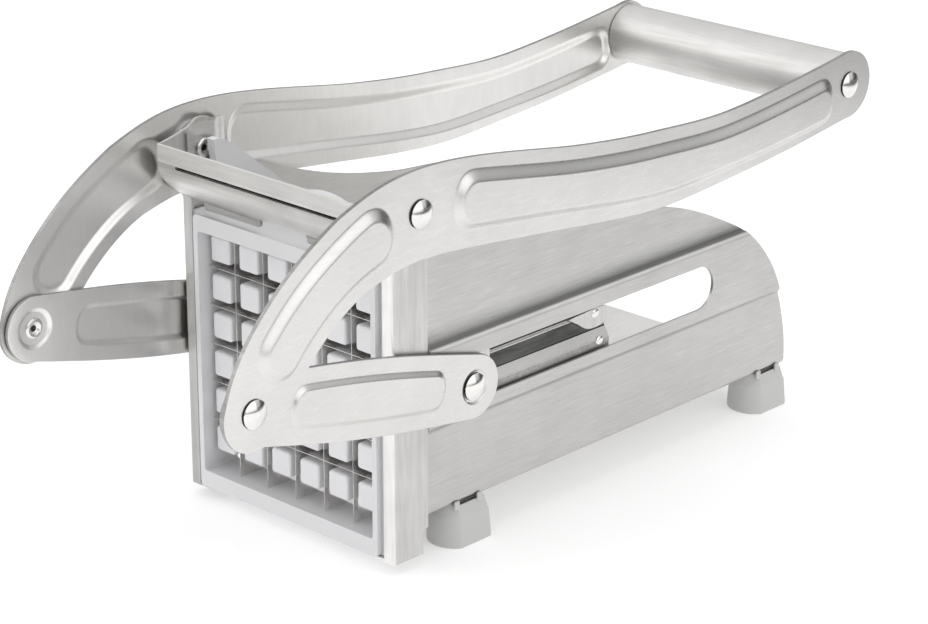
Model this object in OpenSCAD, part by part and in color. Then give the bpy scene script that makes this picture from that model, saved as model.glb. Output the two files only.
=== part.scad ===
// French fry cutter: a sheet steel channel with a blade grid at its front, and a pusher with one
// peg for each cell of the grid. Two lever arms joined by a handle tube swing on the ears of the
// front frame and draw the pusher along the channel through a pair of links.
// Millimetres. +X is right, the grid faces -Y, the handle is at +Y, and Z = 0 is the table.

/* [Channel body] */
// Width over the side panels
body_w = 76.8; // [72:0.1:84]
// Length from the front face to the rear end of the floor
body_len = 163.7; // [155:0.1:180]
// Sheet thickness of the channel
body_sheet = 0.8; // [0.6:0.1:1.0]
// Height of the channel's underside above the table
body_rise = 12.3; // [10:0.1:16]
// Height of the side panels above the underside
wall_h = 62.7; // [60:0.1:66]
// Height of the guide's lower bend above the underside
guide_up = 23.3; // [20:0.1:25]
// Height of the guide panel between its bends
guide_h = 22.2; // [20:0.1:24]
// How far the guide panel stands out from the side panels
guide_out = 1.25; // [1:0.05:1.4]
// Rise of each bend of the guide
guide_bend = 2.1; // [1.5:0.1:2.5]
// Height of the side slot
slot_h = 12.8; // [9:0.1:14]
// Height of the slot's middle above the underside
slot_up = 34.9; // [34:0.1:36]
// Front end of the slot behind the front face
slot_front = 18; // [15:0.5:20]
// Rear end of the slot behind the front face
slot_rear = 127.6; // [127:0.1:135]

/* [Front frame] */
// Sheet thickness of the front frame
frame_sheet = 0.9; // [0.7:0.1:1.0]
// Depth of the frame's side flanges
flange_d = 12.4; // [11.5:0.1:14]
// Width of the front strips
strip_w = 3.8; // [3:0.1:4.5]
// Height of the strips' lower ends above the table
frame_rise = 3.2; // [2:0.1:5]
// Gap between the cassette's top and the crossbar
bar_gap = 3.7; // [3:0.1:5]
// How far the top crossbar flares forward
flare = 8.4; // [6:0.1:10]
// Height of the crossbar
bar_h = 16; // [14:0.1:18]
// Height of the crossbar's upright rim
rim_h = 4.5; // [3:0.1:6]
// Height of the slit under the rim
slit_h = 1.1; // [0.8:0.1:1.5]
// Width of the slit
slit_w = 64; // [50:1:66]
// Depth of the two lips that hang from the crossbar
lip_h = 2.1; // [1:0.1:3]
// Width of a lip
lip_w = 21; // [15:0.5:24]
// Distance of the lips from the middle
lip_in = 9; // [5:0.5:10]
// Radius of the ear round the main pivot
ear_r = 8.3; // [7.5:0.1:9.5]

/* [Blade grid] */
// Number of cells across and up
cells = 6; // [5:1:6]
// Distance from blade to blade
pitch = 10.9; // [10.5:0.1:11]
// Blade thickness
blade_t = 0.5; // [0.4:0.1:0.8]
// Blade depth
blade_d = 8; // [6:0.5:8]
// Distance from the outermost upright blade to the opening's side
edge_cell = 10.55; // [10.1:0.05:10.9]
// Height of the lowest row of cells
low_cell = 14.6; // [12:0.1:15]
// Height of the top row of cells
top_cell = 10.6; // [10.1:0.1:11.5]
// How far the cassette stands proud of the front strips
proud = 1; // [0.5:0.1:2]
// Depth of the cassette
cassette_d = 12; // [11.5:0.5:12]
// Height of the opening's floor above the table
opening_low = 9; // [8:0.1:10]
// Height of the cassette's top rail
top_rail = 4.5; // [3.5:0.1:5.5]

/* [Pusher] */
// Width of a square peg
peg_w = 7.2; // [6:0.1:8]
// Edge radius of a peg
peg_r = 0.9; // [0.4:0.1:1.5]
// Peg face behind the strips' front face
peg_face = 2.2; // [1.8:0.1:2.6]
// Thickness of the peg plate
plate_t = 3.6; // [3:0.1:4.5]
// Top of the peg plate above the cassette's opening
plate_over = 4.2; // [3:0.1:5]
// Rise of the arch in the middle of the plate's top
arch_rise = 10; // [6:0.5:12]
// Half the width of the arch
arch_half = 20; // [16:0.5:24]
// Height of the side fins' tips above the plate's top
fin_rise = 19; // [16:0.5:20]
// How far the side fins reach behind the plate
fin_reach = 42; // [36:0.5:44]
// Thickness of a side fin
fin_t = 2.6; // [2:0.1:3]
// Rear end of the steel carrier at rest, behind the front face
carrier_rear = 85.5; // [70:0.5:95]
// Height of the carrier's side rails
rail_h = 17.6; // [15:0.1:18]
// Sheet thickness of the carrier
carrier_sheet = 0.8; // [0.6:0.1:1]
// Edge of the carrier's cross strip beyond its screws
cleat_edge = 4; // [3.5:0.5:6]
// Distance of the carrier's screws from the middle
screw_x = 24; // [18:0.5:27]

/* [Lever arms] */
// Main pivot behind the front face
pivot_y = 6.75; // [6:0.05:7.5]
// Main pivot above the table
pivot_z = 98; // [96:0.1:99]
// Thickness of an arm
arm_sheet = 1.2; // [1:0.1:1.4]
// Arm tip in front of the main pivot
tip_fore = 56.95; // [54:0.05:60]
// Arm tip below the main pivot
tip_drop = 36.4; // [34:0.1:38]
// Handle axis behind the main pivot
grip_back = 177.2; // [165:0.1:190]
// Handle axis below the main pivot
grip_drop = 3.8; // [0:0.1:8]
// Width of the arm at its tip eye
tip_w = 19.6; // [18:0.1:21]
// Width of the arm between tip and pivot
fore_w = 22.2; // [20:0.1:24]
// Width of the arm at the main pivot
hub_w = 24.5; // [22:0.1:27]
// Width of the arm behind the pivot
waist_w = 22; // [20:0.1:23]
// Width of the arm at the grip
grip_w = 19.4; // [17:0.1:19.8]
// Width of the arm's rear eye
rear_eye_w = 19.8; // [18:0.1:21]
// Height of the pressed panels above the sheet
press_h = 1.2; // [0.8:0.1:1.5]

/* [Links] */
// Distance between the two pivots of a link
link_len = 80; // [79:0.1:82]
// Thickness of a link
link_sheet = 1.2; // [1:0.1:1.2]
// Width of a link at its eyes
link_eye_w = 17.6; // [16:0.1:19]
// Width of a link in its middle
link_mid_w = 20.8; // [19:0.1:22]
// Gap between a link and its arm
link_gap = 0.3; // [0.2:0.05:0.4]
// Gap between a link and the guide panel
guide_gap = 0.3; // [0.3:0.05:0.5]
// Height of the link's pressed panel above the sheet
link_press_h = 0.9; // [0.6:0.1:1.1]
// Height of the pusher axle above the table
axle_z = 45.3; // [45:0.1:47]

/* [Handle] */
// Outer diameter of the handle tube
tube_d = 17.7; // [16:0.1:19]
// Wall of the handle tube
tube_wall = 1; // [0.8:0.1:1.5]
// Diameter of the rod through the tube
rod_d = 5; // [4:0.1:6]
// Length of each end plug in the tube
plug_len = 10; // [6:0.5:14]

/* [Rivets] */
// Shank diameter of the rivets
shank_d = 4; // [3.5:0.1:4.5]
// Diameter of a domed rivet head
head_d = 7.6; // [7:0.1:9]
// Height of a domed rivet head
head_h = 1.6; // [1.2:0.1:2]
// Diameter of a rivet's formed tail
tail_d = 5.6; // [5:0.1:6.5]
// Thickness of a rivet's formed tail
tail_h = 0.6; // [0.5:0.05:0.7]
// Diameter of the pusher axle
axle_d = 6.4; // [5.5:0.1:7]
// Diameter of the spacers between ears and arms
spacer_d = 13; // [11:0.1:15]

/* [Feet] */
// Width of a foot
foot_w = 13; // [11:0.1:14]
// Length of a foot
foot_len = 15; // [13:0.1:17]
// Front end of the front feet behind the front face
foot_front = 20.9; // [19:0.1:24]
// Distance of the rear feet from the channel's rear end
foot_inset = 0.3; // [0.3:0.1:10]
// How far a foot's outer side stands out past the side panel
foot_out = 1.6; // [1:0.1:1.6]
// Height of the lip that holds the panel's lower edge
foot_lip = 1.3; // [1:0.1:3]
// How much each side of a foot leans in towards its top
foot_lean = 0.7; // [0.2:0.1:0.8]

/* [Clearances] */
// Radial clearance of a turning joint
run_fit = 0.06; // [0.03:0.01:0.1]
// Clearance of a blade in its slots
slot_fit = 0.1; // [0.05:0.01:0.2]
// Clearance between neighbours that slide past each other
slide_gap = 0.35; // [0.3:0.05:0.4]
// Least clearance between faces that move past each other
face_gap = 0.1; // [0.05:0.01:0.2]

/* [Hidden] */
$fn = 64;

steel = [0.78, 0.78, 0.78];
dark_steel = [0.5, 0.5, 0.52];
bright_steel = [0.86, 0.86, 0.87];
light_plastic = [0.83, 0.84, 0.87];
foot_plastic = [0.72, 0.73, 0.74];
eps = 0.01;

// Widths across the object, from the middle plane outwards
wall_x = body_w / 2;
inner_x = wall_x - body_sheet;
guide_x = wall_x + guide_out;
frame_x = wall_x + frame_sheet;
link_x = guide_x + guide_gap;
link_out_x = link_x + link_sheet;
arm_x = link_out_x + link_gap;
arm_out_x = arm_x + arm_sheet;
rail_x = guide_x - body_sheet - slide_gap;

// Heights above the table
floor_z = body_rise + body_sheet;
wall_z = body_rise + wall_h;
guide_z = body_rise + guide_up;
slot_z = body_rise + slot_up;
grid_z = opening_low + low_cell + (cells / 2 - 1) * pitch;
opening_top = grid_z + (cells / 2 - 1) * pitch + top_cell;
cassette_bottom = frame_rise + frame_sheet;
cassette_top = opening_top + top_rail;
window_top = cassette_top + bar_gap;
bar_z = window_top + bar_h;
floor_gap = 0.6;
plate_low = floor_z + floor_gap;
plate_top = opening_top + plate_over;
fin_top = plate_top + fin_rise;

// Pivots in the side view, as [y, z]
pivot = [pivot_y, pivot_z];
tip = pivot - [tip_fore, tip_drop];
grip = pivot + [grip_back, -grip_drop];
axle = [tip.x + sqrt(link_len * link_len - pow(tip.y - axle_z, 2)), axle_z];

// Middle of the whole length, which is the part's origin
mid_y = (tip.x - tip_w / 2 + grip.x + rear_eye_w / 2) / 2;

// Blade places
lanes = [for (i = [1 : cells - 1]) (i - cells / 2) * pitch];
cell_mids = [for (i = [0 : cells - 1]) (i - (cells - 1) / 2) * pitch];
blade_front = peg_face + 0.3;
cassette_back = cassette_d - proud;
blade_seat = 1.5;
back_gap = 1.2;
plate_y = cassette_back + back_gap;
plate_back = plate_y + plate_t;
opening_w = (cells - 2) * pitch + 2 * edge_cell;

function unit(v) = v / norm(v);
function spread(from, to, n) = [for (i = [0 : n]) from + (to - from) * i / n];
function turned_left(v) = [-v.y, v.x];
function heading(c, i) = unit(c[min(i + 1, len(c) - 1)] - c[max(i - 1, 0)]);
function bezier(a, b, c, d, n, from = 0, to = 1) = [for (t = spread(from, to, n)) let (s = 1 - t)
    s * s * s * a + 3 * s * s * t * b + 3 * s * t * t * c + t * t * t * d];
function polar(r, a) = [r * cos(a), r * sin(a)];
function arc(centre, r, a0, a1, n) = [for (i = [0 : n]) centre + polar(r, a0 + (a1 - a0) * i / n)];

// Smooth curve through the points of a list
function smooth(p, n) = concat([for (i = [0 : len(p) - 2], k = [0 : n - 1])
    let (t = k / n, a = p[max(i - 1, 0)], b = p[i], c = p[i + 1], d = p[min(i + 2, len(p) - 1)])
    0.5 * (2 * b + t * (c - a) + t * t * (2 * a - 5 * b + 4 * c - d)
        + t * t * t * (3 * b - a - 3 * c + d))],
    [p[len(p) - 1]]);

// Half of a squarish round end; power 1 is a true half circle
function end_cap(centre, ahead, w, bulge, power, n) = [for (k = [1 : n - 1]) let (a = 90 - 180 * k / n)
    centre + ahead * (w * bulge * pow(cos(a), power))
    + turned_left(ahead) * (w * sign(sin(a)) * pow(abs(sin(a)), power))];

// Outline of a strip along the centre line c with half-widths w and round ends
function ribbon(c, w, bulge = 1, power = 1, n = 12) = concat(
    [for (i = [0 : len(c) - 1]) c[i] + w[i] * turned_left(heading(c, i))],
    end_cap(c[len(c) - 1], heading(c, len(c) - 1), w[len(c) - 1], bulge, power, n),
    [for (i = [len(c) - 1 : -1 : 0]) c[i] - w[i] * turned_left(heading(c, i))],
    end_cap(c[0], -heading(c, 0), w[0], bulge, power, n));

// Centre line moved sideways by s
function shifted(c, s) = [for (i = [0 : len(c) - 1]) c[i] + s[i] * turned_left(heading(c, i))];
function part_of(c, i0, i1) = [for (i = [i0 : i1]) c[i]];

// Solid between an outline at height z0 and its partner at height z1
module loft(p0, z0, p1, z1) {
    n = len(p0);
    polyhedron(
        points = concat([for (p = p0) [p.x, p.y, z0]], [for (p = p1) [p.x, p.y, z1]]),
        faces = concat([[for (i = [n - 1 : -1 : 0]) i]], [[for (i = [0 : n - 1]) n + i]],
            [for (i = [0 : n - 1]) [i, (i + 1) % n, n + (i + 1) % n]],
            [for (i = [0 : n - 1]) [i, n + (i + 1) % n, n + i]]));
}

// Puts a side-view drawing (y, z) upright, with its thickness running from x0 to x1
module side(x0, x1) translate([x0, 0, 0]) rotate([90, 0, 90]) linear_extrude(x1 - x0) children();
module side_frame(x0) translate([x0, 0, 0]) rotate([90, 0, 90]) children();
module rod(d, x0, x1, at) translate([x0, at.x, at.y]) rotate([0, 90, 0])
    cylinder(d = d, h = x1 - x0);
module centred() translate([0, -mid_y, 0]) children();
module both_sides() {
    children();
    mirror([1, 0, 0]) children();
}
module left() mirror([1, 0, 0]) children();

// A turned piece along X, from a profile of [radius, distance from x0]
module turned(x0, at, profile) translate([x0, at.x, at.y]) rotate([0, 90, 0])
    rotate_extrude() polygon(profile);

// Profile of a domed head whose flat face is at h0, from its rim to its middle
function dome(h0) =
    let (r = (head_d * head_d / 4 + head_h * head_h) / (2 * head_h), a = asin(head_d / 2 / r))
    [for (i = [0 : 8]) [0, h0 + head_h - r] + r * [sin(a * (1 - i / 8)), cos(a * (1 - i / 8))]];

// Channel body
rear_curve = smooth([[body_len, body_rise - 1], [body_len - 0.6, body_rise + 10],
    [body_len - 4, body_rise + 23], [body_len - 10, body_rise + 35], [body_len - 20.4, body_rise + 46],
    [body_len - 33.3, body_rise + 53.3], [body_len - 46, body_rise + 58.9], [body_len - 58, wall_z]], 6);
panel_front = frame_sheet + 0.4;
doubler_r = ear_r - 1;
shoulder = bezier([pivot_y + 73.4, wall_z], [pivot_y + 50.5, wall_z], [pivot_y + 10, pivot_z - 6],
    pivot + polar(doubler_r, 15), 14);

module side_outline() polygon(concat([[panel_front, body_rise - 1]], rear_curve, shoulder,
    arc(pivot, doubler_r, 25, 140, 12), [[panel_front, pivot_z - 4]]));

bend_r = 1.8;
wall_profile = concat(arc([wall_x - bend_r, body_rise + bend_r], bend_r, -90, 0, 6),
    [[wall_x, guide_z], [guide_x, guide_z + guide_bend], [guide_x, guide_z + guide_bend + guide_h],
    [wall_x, guide_z + 2 * guide_bend + guide_h], [wall_x, pivot_z + 20]]);
flat_profile = concat(arc([wall_x - bend_r, body_rise + bend_r], bend_r, -90, 0, 6),
    [[wall_x, pivot_z + 20]]);
function thickened(p) = concat([[0, body_rise]], p,
    [for (i = [len(p) - 1 : -1 : 7]) p[i] - [body_sheet, 0]],
    arc([wall_x - bend_r, body_rise + bend_r], bend_r - body_sheet, 0, -90, 6), [[0, floor_z]]);

module wall_run(p, y0, y1) translate([0, y1, 0]) rotate([90, 0, 0])
    linear_extrude(y1 - y0) polygon(thickened(p));

guide_front = flange_d + 0.4;
module body_channel() color(steel) centred() both_sides() difference() {
    intersection() {
        union() {
            wall_run(flat_profile, 0, guide_front + eps);
            wall_run(wall_profile, guide_front, body_len + 1);
            // Front end of the guide, where the sheet steps back to the flat panel
            intersection() {
                wall_run(concat(part_of(wall_profile, 0, 10), [[guide_x, pivot_z + 20]]), guide_front,
                    guide_front + body_sheet);
                translate([inner_x, guide_front, guide_z])
                    cube([guide_out + body_sheet, body_sheet, guide_h + 2 * guide_bend]);
            }
        }
        side(0, guide_x + 1) side_outline();
    }
    // The floor starts behind the cassette
    translate([-eps, 0, 0]) cube([inner_x + eps, plate_y - 0.4, body_rise + bend_r]);
    // Side slot for the pusher's axle
    side(inner_x - 1, guide_x + 1) slot_outline();
    rod(shank_d + 2 * run_fit, inner_x - 1, guide_x, pivot);
}
module slot_outline() {
    r = slot_h / 2;
    translate([slot_front + r, slot_z - r]) square([slot_rear - slot_front - slot_h, slot_h]);
    for (y = [slot_front + r, slot_rear - r]) translate([y, slot_z]) circle(r = r);
}

// Front frame
bar_curve = bezier([-flare, bar_z - rim_h - slit_h], [-flare + 0.2, window_top + 6],
    [-flare / 2, window_top + 3.6], [0, window_top], 10);
ear_front = concat([[-flare, bar_z]], bar_curve);
module ear_outline() polygon(concat(ear_front, [[0, frame_rise], [flange_d - 1.9, frame_rise]],
    arc([flange_d, frame_rise + 5.2], 1.9, 180, 90, 4), [[flange_d, pivot_z - 8]],
    arc(pivot, ear_r, -10, 100, 12), [pivot + [-4.6, 6.1], pivot + [-7.3, 5.4]]));
module bar_outline() polygon(concat([[-flare, bar_z]], bar_curve,
    [for (i = [len(bar_curve) - 1 : -1 : 0]) bar_curve[i] + [frame_sheet, frame_sheet * 0.35]],
    [[frame_sheet - flare, bar_z]]));

strip_x = frame_x - strip_w;
tab_w = 6;
module front_frame() color(steel) centred() difference() {
    union() {
        both_sides() {
            side(wall_x, frame_x) ear_outline();
            translate([strip_x, 0, frame_rise])
                cube([strip_w - eps, frame_sheet, window_top - frame_rise + 1]);
            // Tab under the cassette
            translate([strip_x - tab_w, 0, frame_rise])
                cube([tab_w + strip_w - eps, cassette_back - 1, frame_sheet]);
            // Lip under the crossbar
            translate([lip_in, 0, window_top - lip_h]) cube([lip_w, frame_sheet, lip_h + 1]);
        }
        side(-frame_x + eps, frame_x - eps) bar_outline();
    }
    // Slit under the rim
    translate([-slit_w / 2, -flare - 1, bar_z - rim_h - slit_h])
        cube([slit_w, frame_sheet + 2, slit_h]);
    rod(shank_d + 2 * run_fit, -frame_x - 1, frame_x + 1, pivot);
}

// Blade grid and its cassette
stile_gap = 1.5;
flange_gap = 0.6;
flange_x = inner_x - flange_gap;
front_x = frame_x - strip_w - stile_gap;
module cassette_frame() color(light_plastic) centred() difference() {
    union() {
        translate([-front_x, -proud, cassette_bottom])
            cube([2 * front_x, cassette_d, cassette_top - cassette_bottom]);
        translate([-flange_x, frame_sheet, cassette_bottom])
            cube([2 * flange_x, cassette_back - frame_sheet, cassette_top - cassette_bottom]);
    }
    translate([-opening_w / 2, -proud - 1, opening_low])
        cube([opening_w, cassette_d + 2, opening_top - opening_low]);
    // Slots for the blade ends
    seat = blade_seat + slot_fit;
    slot_t = blade_t + 2 * slot_fit;
    for (z = lanes) translate([-opening_w / 2 - seat, blade_front - slot_fit, grid_z + z - slot_t / 2])
        cube([opening_w + 2 * seat, cassette_back, slot_t]);
    for (x = lanes) translate([x - slot_t / 2, blade_front - slot_fit, opening_low - seat])
        cube([slot_t, cassette_back, opening_top - opening_low + 2 * seat]);
}

// Every second half of the depth is notched, so that the two sets cross
lap = blade_d / 2;
module vertical_blades() color(bright_steel) centred() difference() {
    for (x = lanes) translate([x - blade_t / 2, blade_front, opening_low - blade_seat])
        cube([blade_t, blade_d, opening_top - opening_low + 2 * blade_seat]);
    for (z = lanes)
        translate([-opening_w / 2, blade_front + lap - slot_fit, grid_z + z - blade_t / 2 - slot_fit])
            cube([opening_w, lap + 1, blade_t + 2 * slot_fit]);
}
module horizontal_blades() color(bright_steel) centred() difference() {
    for (z = lanes) translate([-opening_w / 2 - blade_seat, blade_front, grid_z + z - blade_t / 2])
        cube([opening_w + 2 * blade_seat, blade_d, blade_t]);
    for (x = lanes) translate([x - blade_t / 2 - slot_fit, blade_front - 1, opening_low])
        cube([blade_t + 2 * slot_fit, lap + 1, opening_top - opening_low]);
}

// Pusher
plate_gap = 0.9;
plate_w = 2 * (inner_x - plate_gap);
arch_r = (arch_half * arch_half + arch_rise * arch_rise) / (2 * arch_rise);
arch_a = asin(arch_half / arch_r);
module plate_outline() polygon(concat([[plate_w / 2, plate_low], [plate_w / 2, plate_top]],
    arc([0, plate_top + arch_rise - arch_r], arch_r, 90 - arch_a, 90 + arch_a, 16),
    [[-plate_w / 2, plate_top], [-plate_w / 2, plate_low]]));
function rounded_square(w, r, n) = [for (q = [0 : 3], k = [0 : n]) let (a = 90 * (q + k / n))
    (w / 2 - r) * [cos(45 + 90 * q), sin(45 + 90 * q)] * sqrt(2) + polar(r, a)];

fin_gap = 1.7;
fin_x = inner_x - fin_gap - fin_t;
fin_rear = plate_back + fin_reach;
fin_outline = concat(smooth([[fin_rear, plate_low + 22], [fin_rear - 12, fin_top - 33],
    [plate_y + 20.6, fin_top - 18.6], [plate_y + 10.6, fin_top - 10.2], [plate_y + 1.2, fin_top - 2.6],
    [plate_y - 3, fin_top - 0.2], [plate_y - 5.7, fin_top]], 4),
    [[plate_y - 3.4, cassette_top + 3], [plate_y, cassette_top + 0.8], [plate_y, plate_low],
    [fin_rear, plate_low]]);

screw_d = 3.5;
screw_head_d = 6.4;
screw_head_h = 2;
screw_skin = 0.6;
screw_y = plate_back + carrier_sheet;
screw_xs = [-screw_x, screw_x];
// The screws stand above and below the axle, clear of it at any link length
screw_off = (axle_d + screw_head_d) / 2 + 4 * face_gap;
screw_zs = [axle_z - screw_off, axle_z + screw_off];
cleat_h = 2 * (screw_off + cleat_edge);
module screw_holes(d, y0, y1) for (x = screw_xs, z = screw_zs) translate([x, y1, z]) rotate([90, 0, 0])
    cylinder(d = d, h = y1 - y0, $fn = 24);

module pusher_block() color(light_plastic) centred() difference() {
    union() {
        translate([0, plate_back, 0]) rotate([90, 0, 0]) linear_extrude(plate_t) plate_outline();
        for (x = cell_mids, z = cell_mids) translate([x, plate_y + eps, grid_z + z]) rotate([90, 0, 0])
            linear_extrude(plate_y + eps - peg_face) polygon(rounded_square(peg_w, peg_r, 2));
        both_sides() difference() {
            side(fin_x, fin_x + fin_t) polygon(fin_outline);
            translate([fin_x - 1, plate_back, axle_z - cleat_h / 2 - slide_gap])
                cube([fin_t + 2, carrier_sheet + slide_gap, cleat_h + 2 * slide_gap]);
            rod(axle_d + 2 * slide_gap, fin_x - 1, fin_x + fin_t + 1, axle);
        }
    }
    screw_holes(screw_d + 2 * run_fit, plate_y + screw_skin, plate_back + 1);
}

rail_low = slot_z - rail_h / 2;
rail_step = 1.3;
rail_bend = 3.6;
rail_in = rail_x - rail_step;
rail_profile = [[rail_x, rail_low], [rail_x, rail_low + rail_bend], [rail_in, rail_low + 2 * rail_bend],
    [rail_in, rail_low + rail_h]];
module rail() translate([0, carrier_rear, 0]) rotate([90, 0, 0]) linear_extrude(carrier_rear - plate_back)
    polygon(concat(rail_profile, [for (i = [3 : -1 : 0]) rail_profile[i] - [carrier_sheet, 0]]));

module pusher_carrier() color(dark_steel) centred() difference() {
    union() {
        both_sides() rail();
        translate([-rail_in, plate_back, axle_z - cleat_h / 2])
            cube([2 * rail_in, carrier_sheet, cleat_h]);
    }
    rod(axle_d + 2 * run_fit, -rail_x - 1, rail_x + 1, axle);
    screw_holes(screw_d + 2 * run_fit, plate_back - 1, screw_y + 1);
}

module carrier_screws() color(bright_steel) centred() {
    for (x = screw_xs, z = screw_zs) {
        translate([x, screw_y + screw_head_h, z]) rotate([90, 0, 0]) {
            cylinder(d = screw_d, h = screw_head_h + screw_y - plate_y - screw_skin, $fn = 24);
            cylinder(d = screw_head_d, h = screw_head_h, $fn = 24);
        }
    }
}

module pusher_axle() color(bright_steel) centred() rod(axle_d, -guide_x, guide_x, axle);

// Lever arms
steps = 20;
hub_rise = 1.5;
fore_curve_len = 43.6;
hub_curve_len = 86;
grip_curve_len = 83;
hub = pivot + [0, hub_rise];

// Centre lines and half-widths of the two spans of an arm, at places from 0 to 1 along each
function fore_span(from, to, n) = bezier(tip, tip, hub - polar(fore_curve_len, 7.7), hub, n, from, to);
function rear_span(from, to, n) = bezier(hub, hub + polar(hub_curve_len, -7.8),
    grip - polar(grip_curve_len, 7.8), grip, n, from, to);
function fore_half(t) = lookup(t, [[0, tip_w / 2], [0.4, fore_w / 2], [0.7, fore_w / 2], [1, hub_w / 2]]);
function rear_half(t) = lookup(t, [[0, hub_w / 2], [0.3, waist_w / 2], [0.5, waist_w / 2],
    [0.75, grip_w / 2], [1, grip_w / 2]]);
arm_line = concat(fore_span(0, 1, steps), rear_span(1 / steps, 1, steps - 1));
arm_half = concat([for (t = spread(0, 1, steps)) fore_half(t)],
    [for (t = spread(1 / steps, 1, steps - 1)) rear_half(t)]);

// A pressed panel: its outer outline and the smaller one of its raised face
module pressed(c, w, off, h, z, up, low, bulge, power) {
    top = shifted(c, [for (o = off) o + (low - up) / 2]);
    top_w = [for (v = w) v - (up + low) / 2];
    loft(ribbon(shifted(c, off), w, bulge, power), z, ribbon(top, top_w, bulge, power), z + h);
}

// Margins of the pressed panels inside the arm's edges, and the widths of their sloped rims
press_top = 3.4;
press_low_front = 4.4;
press_low_rear = 1.9;
slope_top = 3.7;
slope_low = 2.6;
fore_margin = 3.5;
press_steps = 16;
rear_places = spread(0.08, 0.94, press_steps);
press_low = spread(press_low_front, press_low_rear, press_steps);
rear_press_line = rear_span(rear_places[0], rear_places[press_steps], press_steps);
rear_press_half = [for (i = [0 : press_steps]) rear_half(rear_places[i]) - (press_top + press_low[i]) / 2];
rear_press_off = [for (low = press_low) (low - press_top) / 2];
fore_places = spread(0.43, 0.85, press_steps);
fore_press_line = fore_span(fore_places[0], fore_places[press_steps], press_steps);
fore_press_half = [for (t = fore_places) fore_half(t) - fore_margin];
no_offset = [for (t = fore_places) 0];

module arm_presses(z) {
    pressed(rear_press_line, rear_press_half, rear_press_off, press_h, z, slope_top, slope_low, 0.9, 0.8);
    pressed(fore_press_line, fore_press_half, no_offset, press_h, z, slope_top, slope_low, 1, 0.9);
}

module arm() difference() {
    union() {
        side(arm_x, arm_out_x) {
            polygon(ribbon(arm_line, arm_half));
            translate(grip) circle(d = rear_eye_w);
        }
        side_frame(arm_out_x) arm_presses(-eps);
    }
    side_frame(arm_x) arm_presses(-eps);
    rod(shank_d + 2 * run_fit, arm_x - 1, arm_out_x + 1, pivot);
    rod(shank_d + 2 * run_fit, arm_x - 1, arm_out_x + 1, tip);
    rod(rod_d + 2 * run_fit, arm_x - 1, arm_out_x + 1, grip);
}
module lever_arm_right() color(bright_steel) centred() arm();
module lever_arm_left() color(bright_steel) centred() left() arm();

// Links
link_steps = 12;
function link_span(from, to) = [for (t = spread(from, to, link_steps)) tip + (axle - tip) * t];
function link_half(from, to) = [for (t = spread(from, to, link_steps))
    link_eye_w / 2 + (link_mid_w - link_eye_w) / 2 * sin(180 * t)];
link_press_from = 0.235;
link_press_to = 0.795;
link_press_margin = 4;
link_slope = 1.8;
link_press_line = link_span(link_press_from, link_press_to);
link_press_half = [for (w = link_half(link_press_from, link_press_to)) w - link_press_margin];
tail_room = tail_h + face_gap;
tail_rim = 2;
module link() difference() {
    union() {
        side(link_x, link_out_x) polygon(ribbon(link_span(0, 1), link_half(0, 1)));
        side_frame(link_out_x) link_press();
    }
    side_frame(link_x) link_press();
    rod(shank_d + 2 * run_fit, link_x - 1, link_out_x + 1, tip);
    rod(tail_d + 2 * tail_rim, link_x - 1, link_x + tail_room, tip);
    rod(shank_d + 2 * run_fit, link_x - 1, link_out_x + 1, axle);
}
module link_press() pressed(link_press_line, link_press_half, [for (v = link_press_half) 0],
    link_press_h, -eps, link_slope, link_slope, 0.9, 0.85);
module link_right() color(bright_steel) centred() link();
module link_left() color(bright_steel) centred() left() link();

// Rivets, with hollow tails, and spacers
hollow_r = shank_d / 3;
hollow_depth = 0.9;
tail_hollow = [[0, hollow_depth], [hollow_r, hollow_depth]];
module pivot_rivet() {
    back = 1;
    head = back + arm_out_x + face_gap - inner_x;
    turned(inner_x - back, pivot, concat([[hollow_r, 0], [tail_d / 2, 0], [tail_d / 2, back],
        [shank_d / 2, back], [shank_d / 2, head]], dome(head), tail_hollow));
}
module pivot_rivet_right() color(bright_steel) centred() pivot_rivet();
module pivot_rivet_left() color(bright_steel) centred() left() pivot_rivet();

module pivot_spacer() difference() {
    rod(spacer_d, frame_x, arm_x - face_gap, pivot);
    rod(shank_d + 2 * run_fit, frame_x - 1, arm_x + 1, pivot);
}
module pivot_spacer_right() color(light_plastic) centred() pivot_spacer();
module pivot_spacer_left() color(light_plastic) centred() left() pivot_spacer();

module tip_rivet() {
    head = arm_out_x - link_x;
    turned(link_x, tip, concat([[hollow_r, 0], [tail_d / 2, 0], [tail_d / 2, tail_h],
        [shank_d / 2, tail_h], [shank_d / 2, head]], dome(head), tail_hollow));
}
module tip_rivet_right() color(bright_steel) centred() tip_rivet();
module tip_rivet_left() color(bright_steel) centred() left() tip_rivet();

module link_rivet() turned(link_x, axle,
    concat([[0, 0], [shank_d / 2, 0], [shank_d / 2, link_sheet]], dome(link_sheet)));
module link_rivet_right() color(bright_steel) centred() link_rivet();
module link_rivet_left() color(bright_steel) centred() left() link_rivet();

// Handle
tube_end = arm_x - face_gap;
tube_bore = tube_d - 2 * tube_wall;
module handle_tube() color(bright_steel) centred() difference() {
    rod(tube_d, -tube_end, tube_end, grip);
    rod(tube_bore, -tube_end - 1, tube_end + 1, grip);
}
module handle_rod() color(bright_steel) centred() turned(0, grip, concat(
    [for (i = [8 : -1 : 0]) let (p = dome(arm_out_x)[i]) [p.x, -p.y]],
    [[rod_d / 2, -arm_out_x], [rod_d / 2, arm_out_x]], dome(arm_out_x)));
module handle_plug() difference() {
    rod(tube_bore - 2 * run_fit, tube_end - plug_len, tube_end, grip);
    rod(rod_d + 2 * run_fit, tube_end - plug_len - 1, tube_end + 1, grip);
}
module handle_plug_right() color(foot_plastic) centred() handle_plug();
module handle_plug_left() color(foot_plastic) centred() left() handle_plug();

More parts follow.
